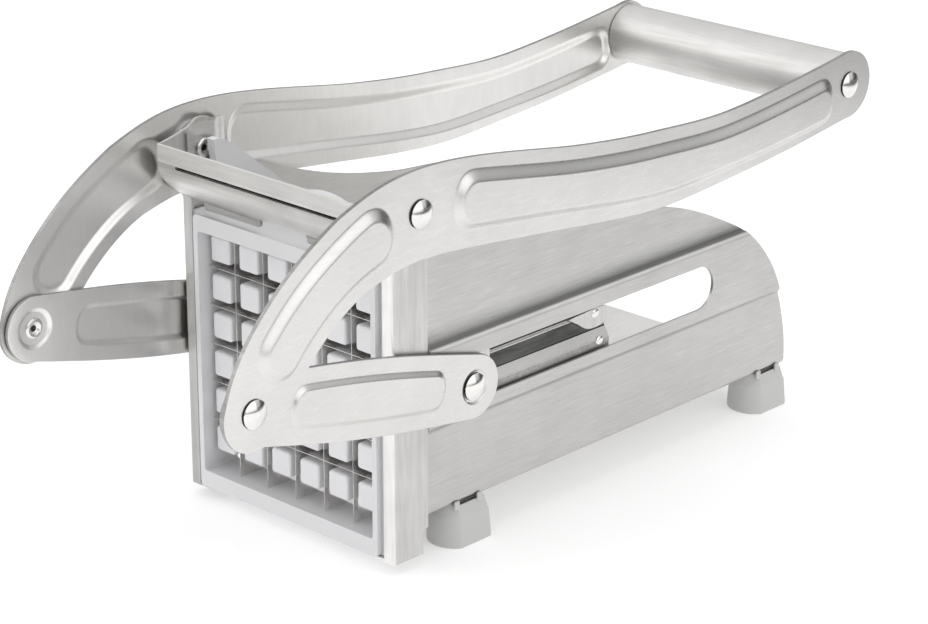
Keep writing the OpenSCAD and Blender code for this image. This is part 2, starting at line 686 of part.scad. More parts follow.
// Feet
foot_x = wall_x + foot_out;
function foot_outline(lean) = let (r = foot_w / 2 - lean, x = foot_x - foot_w / 2)
    concat([[x + r, foot_len - lean], [x + r, foot_w / 2]],
    [for (k = [1 : 11]) [x, foot_w / 2] + polar(r, -180 * k / 12)],
    [[x - r, foot_w / 2], [x - r, foot_len - lean]]);
module foot(y) {
    translate([0, y, 0]) loft(foot_outline(0), 0, foot_outline(foot_lean), body_rise);
    // Lip outside the panel, with a raised hook at each end
    translate([wall_x, y + foot_w / 2, body_rise - 2])
        cube([foot_out - foot_lean, foot_len - foot_w / 2 - foot_lean, foot_lip + 2]);
    for (v = [foot_w / 2, foot_len - foot_lean - 2]) translate([wall_x, y + v, body_rise - 2])
        cube([foot_out - foot_lean - 0.2, 2, foot_lip + 3]);
}
module foot_front_right() color(foot_plastic) centred() foot(foot_front);
module foot_front_left() color(foot_plastic) centred() left() foot(foot_front);
module foot_rear_right() color(foot_plastic) centred() foot(body_len - foot_inset - foot_len);
module foot_rear_left() color(foot_plastic) centred() left() foot(body_len - foot_inset - foot_len);

body_channel();
front_frame();
cassette_frame();
vertical_blades();
horizontal_blades();
pusher_block();
pusher_carrier();
carrier_screws();
pusher_axle();
lever_arm_left();
lever_arm_right();
handle_tube();
handle_rod();
handle_plug_left();
handle_plug_right();
link_left();
link_right();
pivot_rivet_left();
pivot_rivet_right();
pivot_spacer_left();
pivot_spacer_right();
tip_rivet_left();
tip_rivet_right();
link_rivet_left();
link_rivet_right();
foot_front_left();
foot_front_right();
foot_rear_left();
foot_rear_right();
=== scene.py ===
"""French fry cutter: the finished pieces and their materials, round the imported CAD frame.

Lengths are in millimetres, with Y counted from the front face of the steel strips and Z from the
table. place() turns them into the frame's metres. Side views are drawn in (Y, Z) and front views in
(X, Z). What stands on both sides is drawn for the right one and mirrored.
"""

import math

import bpy
import numpy as np
from mathutils import Matrix, Vector
from mathutils.geometry import delaunay_2d_cdt


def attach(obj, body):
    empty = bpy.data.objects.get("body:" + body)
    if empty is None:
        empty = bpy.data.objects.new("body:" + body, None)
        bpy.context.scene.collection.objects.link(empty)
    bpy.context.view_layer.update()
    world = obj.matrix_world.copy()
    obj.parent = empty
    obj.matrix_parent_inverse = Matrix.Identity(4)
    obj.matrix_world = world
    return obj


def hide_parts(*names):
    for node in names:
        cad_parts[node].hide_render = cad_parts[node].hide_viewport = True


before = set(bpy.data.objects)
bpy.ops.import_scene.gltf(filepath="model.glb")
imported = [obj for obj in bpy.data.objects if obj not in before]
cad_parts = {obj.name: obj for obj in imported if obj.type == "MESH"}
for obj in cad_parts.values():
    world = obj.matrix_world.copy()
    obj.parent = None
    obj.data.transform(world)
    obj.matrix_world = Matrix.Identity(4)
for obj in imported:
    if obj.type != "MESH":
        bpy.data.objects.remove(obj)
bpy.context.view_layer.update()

# Middle of the part's length, where the frame has its origin
MID_Y = 66.925

# Sheets: the channel and the carrier, the front frame, and the arms and links
SHEET, FRAME_T, PLATE_T = 0.8, 0.9, 1.2

# Faces across the part, from its middle plane to the outside
WALL_X = 38.4
GUIDE_OUT = 1.25
GUIDE_X = WALL_X + GUIDE_OUT
FRAME_X = WALL_X + FRAME_T
LINK_X = 39.95
LINK_OUT = LINK_X + PLATE_T
ARM_X = 41.45
ARM_OUT = ARM_X + PLATE_T
SPACER_END = 41.35

# Pivots in the side view
PIVOT = np.array([6.75, 98.0])
TIP = np.array([-50.2, 61.6])
GRIP = np.array([183.95, 94.2])
AXLE = np.array([28.122, 45.3])

# Blade grid
PITCH, GRID_Z, CELLS_ACROSS = 10.9, 45.4, 6
LANES = [(i - CELLS_ACROSS / 2) * PITCH for i in range(1, CELLS_ACROSS)]
CELLS = [(i - (CELLS_ACROSS - 1) / 2) * PITCH for i in range(CELLS_ACROSS)]

# Rivets and rod
SHANK_R, HOLE_R, HEAD_R, HEAD_H, TAIL_R = 2.0, 2.06, 3.8, 1.6, 2.8
ROD_R, ROD_HOLE_R = 2.5, 2.56


def place(p):
    """Millimetres of the drawing to the frame's metres."""
    return (np.asarray(p, float).reshape(-1, 3) - [0, MID_Y, 0]) / 1000


# Curves and flat shapes
def ease(t):
    """Smooth rise from 0 to 1."""
    t = np.clip(t, 0, 1)
    return t * t * (3 - 2 * t)


def polar(r, deg):
    return np.array([r * math.cos(math.radians(deg)), r * math.sin(math.radians(deg))])


def arc(centre, r, a0, a1, n):
    return np.array([np.asarray(centre) + polar(r, a0 + (a1 - a0) * i / n) for i in range(n + 1)])


def circle(centre, r, n=40):
    return arc(centre, r, 0, 360 - 360 / n, n - 1)


def rounded(x0, x1, z0, z1, r, n=6):
    """Rectangle with round corners, counter-clockwise."""
    return np.vstack([arc((x1 - r, z0 + r), r, -90, 0, n), arc((x1 - r, z1 - r), r, 0, 90, n),
                      arc((x0 + r, z1 - r), r, 90, 180, n), arc((x0 + r, z0 + r), r, 180, 270, n)])


def bezier(a, b, c, d, n, start=0, end=1):
    """Points of a cubic curve between two shares of its run."""
    t = np.linspace(start, end, n + 1)[:, None]
    a, b, c, d = (np.asarray(v, float) for v in (a, b, c, d))
    return (1 - t) ** 3 * a + 3 * (1 - t) ** 2 * t * b + 3 * (1 - t) * t * t * c + t ** 3 * d


def smooth(points, n):
    """Smooth curve through the points, with n steps between two of them."""
    p = np.asarray(points, float)
    out = []
    for i in range(len(p) - 1):
        a, b, c, d = p[max(i - 1, 0)], p[i], p[i + 1], p[min(i + 2, len(p) - 1)]
        for k in range(n):
            t = k / n
            out.append(0.5 * (2 * b + t * (c - a) + t * t * (2 * a - 5 * b + 4 * c - d)
                              + t ** 3 * (3 * b - a - 3 * c + d)))
    out.append(p[-1])
    return np.array(out)


def stations(t, ts, ws):
    """Width along a strip, level at each station."""
    t = np.clip(t, ts[0], ts[-1])
    k = np.clip(np.searchsorted(ts, t, side="right") - 1, 0, len(ts) - 2)
    ts, ws = np.asarray(ts, float), np.asarray(ws, float)
    return ws[k] + (ws[k + 1] - ws[k]) * ease((t - ts[k]) / (ts[k + 1] - ts[k]))


def headings(c):
    """Unit direction of a line at each of its points."""
    g = np.gradient(c, axis=0)
    return g / np.linalg.norm(g, axis=1)[:, None]


def left_of(c):
    """Unit direction to the left of a line at each of its points."""
    h = headings(c)
    return np.stack([-h[:, 1], h[:, 0]], 1)


def cap(centre, ahead, w, bulge, power, n):
    """Half of a squarish round end, from its left side to its right side."""
    side = np.array([-ahead[1], ahead[0]])
    out = []
    for k in range(1, n):
        a = math.radians(90 - 180 * k / n)
        out.append(centre + ahead * (w * bulge * math.cos(a) ** power)
                   + side * (w * math.copysign(abs(math.sin(a)) ** power, math.sin(a))))
    return np.array(out)


def ribbon(c, w, bulge=1.0, power=1.0, n=24):
    """Outline of a strip with round ends along the centre line c, with half-widths w."""
    left, h = left_of(c), headings(c)
    return np.vstack([c + w[:, None] * left, cap(c[-1], h[-1], w[-1], bulge, power, n),
                      (c - w[:, None] * left)[::-1], cap(c[0], -h[0], w[0], bulge, power, n)])


# Meshes
def within(poly, pts):
    """Which points lie inside a closed polygon."""
    x, y = pts[:, 0], pts[:, 1]
    inside = np.zeros(len(pts), bool)
    a = np.asarray(poly, float)
    for (x0, y0), (x1, y1) in zip(a, np.roll(a, -1, axis=0)):
        inside ^= ((y0 > y) != (y1 > y)) & (x < (x1 - x0) * (y - y0) / (y1 - y0 + 1e-30) + x0)
    return inside


def region(outer, holes=(), loops=(), lines=()):
    """Triangles of a flat region, with the given loops and lines kept as edges."""
    pts, edges = [], []

    def add(p, closed):
        n0, k = len(pts), len(p)
        pts.extend(Vector((float(q[0]), float(q[1]))) for q in p)
        edges.extend((n0 + i, n0 + i + 1) for i in range(k - 1))
        if closed:
            edges.append((n0 + k - 1, n0))

    add(outer, True)
    for p in list(holes) + list(loops):
        add(p, True)
    for p in lines:
        add(p, False)
    out = delaunay_2d_cdt(pts, edges, [], 0, 1e-4, False)
    v = np.array([tuple(q) for q in out[0]])
    f = np.array([tuple(t) for t in out[2]])
    mids = v[f].mean(1)
    keep = within(outer, mids)
    for h in holes:
        keep &= ~within(h, mids)
    used, f = np.unique(f[keep], return_inverse=True)
    return v[used], f.reshape(-1, 3)


def rim_edges(faces):
    """Boundary edges of a triangulation, in the direction of their triangle."""
    e = {}
    for t in faces:
        for i in range(3):
            e[(int(t[i]), int(t[(i + 1) % 3]))] = True
    return [k for k in e if (k[1], k[0]) not in e]


def doubled(f, n):
    """Faces of a closed solid between two copies of a region that has n points."""
    faces = [tuple(t) for t in f] + [(t[2] + n, t[1] + n, t[0] + n) for t in f]
    return faces + [(b, a, a + n, b + n) for a, b in rim_edges(f)]


def slab(v, f, front, back):
    """Solid between two copies of a side view: front and back are the X values of its points."""
    return np.vstack([np.column_stack([front, v]), np.column_stack([back, v])]), doubled(f, len(v))


def level_slab(v, f, front, back):
    """Solid between two X values of a side view."""
    return slab(v, f, np.full(len(v), front), np.full(len(v), back))


def prism(v, f, y0, y1):
    """Solid between two Y values of a front view."""
    n = len(v)
    return np.vstack([np.column_stack([v[:, 0], np.full(n, y0), v[:, 1]]),
                      np.column_stack([v[:, 0], np.full(n, y1), v[:, 1]])]), doubled(f, n)


def box_mesh(x0, x1, y0, y1, z0, z1):
    v = [(x, y, z) for x in (x0, x1) for y in (y0, y1) for z in (z0, z1)]
    f = [(0, 1, 3, 2), (4, 6, 7, 5), (0, 4, 5, 1), (2, 3, 7, 6), (0, 2, 6, 4), (1, 5, 7, 3)]
    return np.array(v, float), f


def lofted(rows, closed=(True, True)):
    """Skin over rings of equal length, with a flat end where closed says so."""
    n = len(rows[0])
    faces = []
    for k in range(len(rows) - 1):
        for i in range(n):
            j = (i + 1) % n
            faces.append((k * n + i, k * n + j, (k + 1) * n + j, (k + 1) * n + i))
    if closed[0]:
        faces.append(tuple(range(n - 1, -1, -1)))
    if closed[1]:
        faces.append(tuple((len(rows) - 1) * n + i for i in range(n)))
    return np.vstack(rows), faces


def turned(profile, at, n=56, looks=None):
    """Lathe about an axis along X through at = (y, z); profile holds (x, radius), from -X to +X.
    looks gives a material number for each band of the profile."""
    verts, faces, rows, marks = [], [], [], []
    for x, r in profile:
        if r < 1e-6:
            rows.append([len(verts)])
            verts.append((x, at[0], at[1]))
        else:
            rows.append(list(range(len(verts), len(verts) + n)))
            for k in range(n):
                a = 2 * math.pi * k / n
                verts.append((x, at[0] + r * math.cos(a), at[1] + r * math.sin(a)))
    for band, (a, b) in enumerate(zip(rows, rows[1:])):
        for i in range(n):
            j = (i + 1) % n
            q = [a[i % len(a)], a[j % len(a)], b[j % len(b)], b[i % len(b)]]
            q = [p for m, p in enumerate(q) if p != q[m - 1]]
            if len(q) > 2:
                faces.append(tuple(q))
                marks.append(looks[band] if looks else 0)
    return np.array(verts, float), faces, marks


def ring_profile(x0, x1, inner, outer, chamfer):
    """Closed profile of a bush with chamfered outer edges."""
    return [(x0, inner), (x0, outer - chamfer), (x0 + chamfer, outer), (x1 - chamfer, outer),
            (x1, outer - chamfer), (x1, inner), (x0, inner)]


def flipped(verts, faces):
    """The mirror image in X."""
    return verts * [-1, 1, 1], [tuple(reversed(t)) for t in faces]


def both_sides(mesh):
    """A mesh of the right side and its mirror image, each with its side's name."""
    return ("right", mesh), ("left", flipped(*mesh))


def joined(parts):
    """Several meshes as one."""
    verts, faces, n = [], [], 0
    for v, f in parts:
        verts.append(v)
        faces += [tuple(i + n for i in t) for t in f]
        n += len(v)
    return np.vstack(verts), faces


def facing(v, f, way, least=0.3):
    """1 for each face whose normal runs along way, else 0."""
    v = np.asarray(v, float)
    marks = []
    for face in f:
        a, b, c = v[list(face)[:3]]
        n = np.cross(b - a, c - a)
        marks.append(int(n @ np.asarray(way, float) > least * np.linalg.norm(n)))
    return marks


def piece(name, verts, faces, body, nodes=(), slot=None, mats=(), face_mats=None):
    """One visible piece that rides on a body and replaces the named CAD nodes."""
    me = bpy.data.meshes.new(name)
    me.from_pydata([tuple(p) for p in place(verts)], [], [tuple(int(i) for i in t) for t in faces])
    for m in mats:
        me.materials.append(m)
    if face_mats is not None:
        me.polygons.foreach_set("material_index", np.asarray(face_mats, np.int32))
    me.validate()
    me.shade_smooth()
    ob = bpy.data.objects.new(name, me)
    bpy.context.scene.collection.objects.link(ob)
    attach(ob, body)
    if nodes:
        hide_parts(*nodes)
    return ob


def bevelled(ob, width=0.2, segments=2, angle=40):
    """Rounds the sharp edges by a real width, in millimetres."""
    b = ob.modifiers.new("edge", "BEVEL")
    b.width = width / 1000
    b.segments = segments
    b.limit_method = "ANGLE"
    b.angle_limit = math.radians(angle)
    w = ob.modifiers.new("normals", "WEIGHTED_NORMAL")
    w.keep_sharp = True
    w.weight = 80
    return ob


def solidified(ob, thickness):
    """Gives a bent sheet its thickness, inwards."""
    s = ob.modifiers.new("sheet", "SOLIDIFY")
    s.thickness = thickness / 1000
    s.offset = -1
    s.use_even_offset = True
    return s


def mirrored(ob):
    m = ob.modifiers.new("other half", "MIRROR")
    m.use_axis = (True, False, False)
    m.merge_threshold = 1e-6


# Material nodes
def nodes_of(name):
    """A new material, its node tree and its shader."""
    m = bpy.data.materials.new(name)
    m.use_nodes = True
    t = m.node_tree
    t.nodes.clear()
    out = t.nodes.new("ShaderNodeOutputMaterial")
    p = t.nodes.new("ShaderNodeBsdfPrincipled")
    t.links.new(p.outputs[0], out.inputs[0])
    return m, t, p


def noise(t, scale, detail=3.0, rough=0.6):
    """Noise in the piece's own coordinates, stretched by scale (per metre along X, Y and Z)."""
    co = t.nodes.new("ShaderNodeTexCoord")
    mp = t.nodes.new("ShaderNodeMapping")
    mp.inputs["Scale"].default_value = scale
    n = t.nodes.new("ShaderNodeTexNoise")
    n.inputs["Scale"].default_value = 1
    n.inputs["Detail"].default_value = detail
    n.inputs["Roughness"].default_value = rough
    t.links.new(co.outputs["Object"], mp.inputs["Vector"])
    t.links.new(mp.outputs[0], n.inputs["Vector"])
    return n.outputs["Fac"]


def ranged(t, src, to_min, to_max, from_min=0.3, from_max=0.7, how="LINEAR"):
    """Maps one range to another and stops at its ends."""
    r = t.nodes.new("ShaderNodeMapRange")
    r.interpolation_type = how
    r.inputs["From Min"].default_value = from_min
    r.inputs["From Max"].default_value = from_max
    r.inputs["To Min"].default_value = to_min
    r.inputs["To Max"].default_value = to_max
    t.links.new(src, r.inputs["Value"])
    return r.outputs[0]


def combined(t, a, b, how="ADD"):
    """Sum, product or difference of two values, of which the first may be a plain number."""
    m = t.nodes.new("ShaderNodeMath")
    m.operation = how
    if isinstance(a, (int, float)):
        m.inputs[0].default_value = a
    else:
        t.links.new(a, m.inputs[0])
    t.links.new(b, m.inputs[1])
    return m.outputs[0]


def ramped(t, src, stops):
    """Grey ramp over a value; each stop holds a place from 0 to 1 and a grey."""
    ramp = t.nodes.new("ShaderNodeValToRGB")
    elements = ramp.color_ramp.elements
    while len(elements) < len(stops):
        elements.new(0.5)
    for e, (at, grey) in zip(elements, stops):
        e.position = at
        e.color = (grey, grey, grey, 1)
    t.links.new(src, ramp.inputs[0])
    return ramp.outputs[0]


def coordinates(t, kind):
    """A kind of coordinates as a vector and as separate X, Y and Z."""
    co = t.nodes.new("ShaderNodeTexCoord").outputs[kind]
    axes = t.nodes.new("ShaderNodeSeparateXYZ")
    t.links.new(co, axes.inputs[0])
    return co, axes.outputs


def along(t, co, way):
    """How far a vector reaches along a direction."""
    d = t.nodes.new("ShaderNodeVectorMath")
    d.operation = "DOT_PRODUCT"
    d.inputs[1].default_value = way
    t.links.new(co, d.inputs[0])
    return d.outputs["Value"]


def shade(t, src, p, tint):
    """A grey value, tinted, as the base colour."""
    c = t.nodes.new("ShaderNodeMix")
    c.data_type = "RGBA"
    c.inputs["A"].default_value = (0, 0, 0, 1)
    c.inputs["B"].default_value = (*tint, 1)
    t.links.new(src, c.inputs["Factor"])
    t.links.new(c.outputs["Result"], p.inputs["Base Color"])


def grained(t, p, src, strength, distance):
    """Fine relief; the distance is in metres."""
    b = t.nodes.new("ShaderNodeBump")
    b.inputs["Strength"].default_value = strength
    b.inputs["Distance"].default_value = distance
    t.links.new(src, b.inputs["Height"])
    t.links.new(b.outputs[0], p.inputs["Normal"])


def brushed(name, grey, rough, grain, depth=0.12, bump=0.12, patch=0.05, swing=0.08, folds=(), axis="Z"):
    """Brushed steel. grain is the stretch of the brush lines, per metre along X, Y and Z. depth and
    patch are how far the lines and large clouds change the grey, and swing how far the lines change
    the roughness. folds holds painted shade and painted highlight in bands along the sheet: places in
    metres on one axis of the part, each with a factor for the grey."""
    m, t, p = nodes_of(name)
    lines = noise(t, grain, detail=4, rough=0.7)
    clouds = noise(t, (45, 45, 45), detail=2)
    value = combined(t, ranged(t, lines, grey - depth, grey + depth), ranged(t, clouds, -patch, patch))
    if folds:
        lowest, highest = folds[0][0], folds[-1][0]
        _, axes = coordinates(t, "Object")
        share = ranged(t, axes[axis], 0, 1, lowest, highest)
        stops = [((at - lowest) / (highest - lowest), factor) for at, factor in folds]
        value = combined(t, value, ramped(t, share, stops), "MULTIPLY")
    shade(t, value, p, (1, 0.99, 0.97))
    t.links.new(ranged(t, lines, rough + swing, rough - swing), p.inputs["Roughness"])
    p.inputs["Metallic"].default_value = 1.0
    grained(t, p, lines, bump, 0.00004)
    return m


def plastic(name, colour, rough):
    """Moulded plastic with a fine grain and faint clouds."""
    speck, swing = 0.03, 0.06
    m, t, p = nodes_of(name)
    fine = noise(t, (2500, 2500, 2500), detail=3)
    clouds = noise(t, (60, 60, 60), detail=2)
    value = combined(t, ranged(t, fine, 1 - speck, 1 + speck), ranged(t, clouds, -speck, speck))
    shade(t, value, p, colour)
    t.links.new(ranged(t, fine, rough - swing, rough + swing), p.inputs["Roughness"])
    grained(t, p, fine, 0.08, 0.00005)
    return m


# Brush directions: across the part, along it, upright, and none
ACROSS, LENGTHWISE, UPRIGHT, EVEN = (60, 700, 900), (900, 110, 3800), (900, 700, 60), (900, 900, 900)

# Painted shade and painted highlight in lines along the guide's bends, and in lines along the crossbar's slit
GUIDE_PAINTED_BANDS = (
    (0.0352, 1), (0.0358, 0.9), (0.0366, 0.9), (0.0374, 1), (0.0574, 1), (0.0578, 0.78), (0.0582, 1.05),
    (0.0588, 1.12), (0.0593, 0.42), (0.0600, 0.46), (0.0612, 0.68), (0.0628, 0.84), (0.0650, 1))
# Painted shade at the crossbar's slit, with painted highlight above it and lower down
RIM_PAINTED_BANDS = (
    (0.0875, 1.2), (0.0925, 1.16), (0.0948, 1), (0.0964, 0.78), (0.0973, 0.78), (0.0975, 1.15),
    (0.0984, 1.04))
# Painted shade: the left front strip is painted darker than the right one
STRIP_PAINTED_SHADE = ((-0.037, 0.56), (-0.03, 0.66), (0.0, 0.92), (0.03, 1))

# The body's outer steel carries the painted shade and painted highlight of the guide's bends
body_steel = brushed("body_steel", 0.545, 0.34, LENGTHWISE, depth=0.045, patch=0.022, folds=GUIDE_PAINTED_BANDS)
# Painted light: lighter copies of the body's steel for the inner faces and, lighter still, the floor's top
# face
inner_body_painted_light = brushed("inner_body_painted_light", 0.66, 0.36, LENGTHWISE, depth=0.045, patch=0.022)
floor_steel_painted_light = brushed("floor_steel_painted_light", 0.95, 0.40, (900, 110, 900), depth=0.04)
frame_steel = brushed("frame_steel", 0.86, 0.42, UPRIGHT, depth=0.04, folds=STRIP_PAINTED_SHADE, axis="X")
# Painted shade: a darker copy of the frame's steel for its flanges and ears; the rails' fittings use it too
flange_steel = brushed("flange_steel", 0.63, 0.42, UPRIGHT, depth=0.04)
# Painted shade: a dark copy of the steel for the lips under the crossbar, the cut edges of arms and links,
# and the rails' lower flanges
lip_steel_painted_shade = brushed("lip_steel_painted_shade", 0.36, 0.42, ACROSS, depth=0.04)
# Painted shade: the crossbar is a darker copy of the frame's steel, with the painted bands at its slit
rim_steel_painted_shade = brushed("rim_steel_painted_shade", 0.60, 0.42, ACROSS, depth=0.04, folds=RIM_PAINTED_BANDS)
# Painted highlight: a near-white copy of the steel for the crossbar's cut edges
edge_steel_painted_highlight = brushed("edge_steel_painted_highlight", 0.97, 0.35, ACROSS, depth=0.02)
arm_steel = brushed("arm_steel", 0.71, 0.29, (500, 160, 1100), depth=0.016, bump=0.004, patch=0.02,
                    swing=0.03)
# Painted light: a lighter copy of the arms' steel for the inner faces of arms and links
inner_steel_painted_light = brushed("inner_steel_painted_light", 0.83, 0.31, (500, 700, 160), depth=0.02, bump=0.004, patch=0.02,
                      swing=0.03)
tube_steel = brushed("tube_steel", 0.74, 0.50, (60, 1500, 1500), depth=0.03)
# Painted highlight: a light copy of the rails' steel for their folds
rail_painted_highlight = brushed("rail_painted_highlight", 0.66, 0.30, (900, 60, 900), depth=0.03)
# Painted shade: a near-black steel for the rails' faces inside the channel, the cross strip, the axle and the
# face behind the slit
rail_steel = brushed("rail_steel", 0.085, 0.26, (900, 60, 900), depth=0.02)
# Painted shadow: near black, for the gaps under rivet heads, the bottoms of hollow tails, the rails' upper
# flanges and the slots behind the feet's hooks
dark_steel = brushed("dark_steel", 0.06, 0.5, EVEN, depth=0.02)
chrome = brushed("chrome", 0.80, 0.14, EVEN, depth=0.02, bump=0.03)
blade_steel = brushed("blade_steel", 0.82, 0.22, (300, 1200, 300), depth=0.05)
white_plastic = plastic("white_plastic", (0.785, 0.782, 0.80), 0.42)
# Painted highlight: a near-white copy of the white plastic for the fins' edges
edge_plastic_painted_highlight = plastic("edge_plastic_painted_highlight", (0.93, 0.93, 0.94), 0.35)
cassette_plastic = plastic("cassette_plastic", (0.735, 0.732, 0.745), 0.45)
foot_plastic = plastic("foot_plastic", (0.545, 0.545, 0.535), 0.5)

# The CAD solids that no piece replaces
for node, look in (("carrier_screws", chrome), ("handle_plug_left", foot_plastic),
                   ("handle_plug_right", foot_plastic)):
    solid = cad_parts[node].data
    solid.materials.clear()
    solid.materials.append(look)

# Lever arms
STRIP_STEPS, CAP_STEPS = 72, 36
HUB = PIVOT + [0, 1.5]
TIP_HALF, FORE_HALF, HUB_HALF, REAR_HALF, GRIP_HALF = 9.72, 11.1, 12.25, 11, 9.7
# The rear eye is a little wider than the strip that runs into it
EYE_R = 9.86
# Pressed panels: shares of the slope at which it is drawn, and its widths and height
SLOPE_SHARES = (0, 0.08, 0.16, 0.25, 0.37, 0.5, 0.63, 0.75, 0.84, 0.92, 1)
UPPER_SLOPE, LOWER_SLOPE, PRESS_H = 3.7, 2.6, 1.45
UPPER_MARGIN, FORE_MARGIN = 3.4, 3.5
LOWER_MARGIN_AT_HUB, LOWER_MARGIN_AT_GRIP = 4.4, 1.9
# Handles of the curves and how far they tilt, in degrees
FORE_HANDLE, FORE_TILT = 43.6, 7.7
HUB_HANDLE, GRIP_HANDLE, REAR_TILT = 86, 83, 7.8
# Where the panels start and end along the curves, and how full and how square their ends are
FORE_PANEL, FORE_PANEL_END = (0.43, 0.85), (1, 0.9)
REAR_PANEL, REAR_PANEL_END = (0.08, 0.94), (0.9, 0.8)
BEND_REACH, BEND_PASSES = 14, 60
STAMPED_EDGE = 0.22


def fore_span(start, end):
    """Centre line and half-widths of the arm's front part."""
    t = np.linspace(start, end, STRIP_STEPS + 1)
    return (bezier(TIP, TIP, HUB - polar(FORE_HANDLE, FORE_TILT), HUB, STRIP_STEPS, start, end),
            stations(t, [0, 0.4, 0.7, 1], [TIP_HALF, FORE_HALF, FORE_HALF, HUB_HALF]))


def rear_span(start, end):
    """Centre line and half-widths of the arm's rear part."""
    t = np.linspace(start, end, STRIP_STEPS + 1)
    handles = HUB + polar(HUB_HANDLE, -REAR_TILT), GRIP - polar(GRIP_HANDLE, REAR_TILT)
    return (bezier(HUB, *handles, GRIP, STRIP_STEPS, start, end),
            stations(t, [0, 0.3, 0.5, 0.75, 1], [HUB_HALF, REAR_HALF, REAR_HALF, GRIP_HALF, GRIP_HALF]))


def press(line, w, off, upper, lower, h, end):
    """Loops of a pressed panel from its foot to its raised face, each with its height. off moves the
    panel to the left of the line, and upper and lower are the widths of its slopes."""
    left = left_of(line)
    loops = []
    for t in SLOPE_SHARES:
        s = off + t * (lower - upper) / 2
        loop = ribbon(line + s[:, None] * left, w - t * (upper + lower) / 2, *end)
        loops.append((loop, h * ease(t)))
    return loops


def pressed_height(v, pr):
    """Height of a pressed panel at each point."""
    pts = np.vstack([p for p, _ in pr])
    hs = np.concatenate([np.full(len(p), h) for p, h in pr])
    height = np.zeros(len(v))
    ids = np.where(within(pr[0][0], v))[0]
    height[ids] = hs[((v[ids][:, None] - pts[None]) ** 2).sum(2).argmin(1)]
    return height


def arm():
    """Right arm: a strip from the link's pivot over the main pivot to the grip, with two panels."""
    (fore, fore_w), (rear, rear_w) = fore_span(0, 1), rear_span(0, 1)
    reach = np.linalg.norm(rear - GRIP, axis=1)
    rear_w = np.maximum(rear_w, np.sqrt(np.maximum(EYE_R ** 2 - reach ** 2, 0)))
    outline = ribbon(np.vstack([fore, rear[1:]]), np.concatenate([fore_w, rear_w[1:]]), n=CAP_STEPS)
    # Round off the bend at the main pivot, on both edges
    for middle in (STRIP_STEPS, len(outline) - CAP_STEPS - STRIP_STEPS):
        span = np.arange(middle - BEND_REACH, middle + BEND_REACH + 1)
        for _ in range(BEND_PASSES):
            outline[span] = (outline[span - 1] + 2 * outline[span] + outline[span + 1]) / 4
    line, w = rear_span(*REAR_PANEL)
    lower_margin = np.linspace(LOWER_MARGIN_AT_HUB, LOWER_MARGIN_AT_GRIP, STRIP_STEPS + 1)
    rear_press = press(line, w - (UPPER_MARGIN + lower_margin) / 2, (lower_margin - UPPER_MARGIN) / 2,
                       UPPER_SLOPE, LOWER_SLOPE, PRESS_H, REAR_PANEL_END)
    line, w = fore_span(*FORE_PANEL)
    fore_press = press(line, w - FORE_MARGIN, np.zeros(STRIP_STEPS + 1),
                       UPPER_SLOPE, LOWER_SLOPE, PRESS_H, FORE_PANEL_END)
    holes = [circle(PIVOT, HOLE_R), circle(TIP, HOLE_R), circle(GRIP, ROD_HOLE_R)]
    v, f = region(outline, holes, [p for p, _ in rear_press + fore_press])
    height = pressed_height(v, rear_press) + pressed_height(v, fore_press)
    return slab(v, f, ARM_OUT + height, ARM_X + height)


PLATE_LOOKS = [arm_steel, inner_steel_painted_light, lip_steel_painted_shade]


def plate_looks(mesh, side):
    """Place in PLATE_LOOKS for the outer face, the inner face and the cut edge of an arm or a link. The inner
    face gets a lighter copy of the steel as painted light, and the cut edge a darker one as painted shade.
    """
    outward = 1 if side == "right" else -1
    outer, inner = facing(*mesh, (outward, 0, 0)), facing(*mesh, (-outward, 0, 0))
    return [0 if a else 1 if b else 2 for a, b in zip(outer, inner)]


for side, mesh in both_sides(arm()):
    bevelled(piece("arm_" + side, *mesh, "lever", ["lever_arm_" + side], "stamped_steel",
                   PLATE_LOOKS, plate_looks(mesh, side)), STAMPED_EDGE)

# Links
LINK_STEPS, LINK_HALF, LINK_BELLY = 40, 8.8, 1.6
LINK_MARGIN, LINK_SLOPE, LINK_PRESS_H = 4, 1.8, 0.9
LINK_PANEL, LINK_PANEL_END = (0.235, 0.795), (0.9, 0.85)
# Round dishes about the pivots: outer radius, inner radius and depth
DISH_TIP = (5.7, 4.3, 0.66)
DISH_AXLE = (5.0, 4.1, 0.35)


def link_span(start, end):
    """Centre line and half-widths of a stretch of the link."""
    t = np.linspace(start, end, LINK_STEPS + 1)
    return TIP + (AXLE - TIP) * t[:, None], LINK_HALF + LINK_BELLY * np.sin(np.pi * t)


def dish(v, centre, size):
    """Depth of a round dish at each point."""
    outer, inner, depth = size
    return depth * ease((outer - np.linalg.norm(v - centre, axis=1)) / (outer - inner))


def link():
    """Right link, with one panel, a dish outside at its rear end and one inside at its front end."""
    line, w = link_span(*LINK_PANEL)
    panel = press(line, w - LINK_MARGIN, np.zeros(LINK_STEPS + 1),
                  LINK_SLOPE, LINK_SLOPE, LINK_PRESS_H, LINK_PANEL_END)
    rings = [circle(centre, outer + (inner - outer) * k / 4)
             for centre, (outer, inner, _) in ((TIP, DISH_TIP), (AXLE, DISH_AXLE)) for k in range(5)]
    v, f = region(ribbon(*link_span(0, 1), n=CAP_STEPS), [circle(TIP, HOLE_R), circle(AXLE, HOLE_R)],
                  [p for p, _ in panel] + rings)
    height = pressed_height(v, panel)
    return slab(v, f, LINK_OUT + height - dish(v, AXLE, DISH_AXLE), LINK_X + height + dish(v, TIP, DISH_TIP))


for side, mesh in both_sides(link()):
    bevelled(piece("link_plate_" + side, *mesh, "link_" + side, ["link_" + side], "stamped_steel",
                   PLATE_LOOKS, plate_looks(mesh, side)), STAMPED_EDGE)

# Rivets and rod
DOME_R, DOME_H = 3.7, 1.05
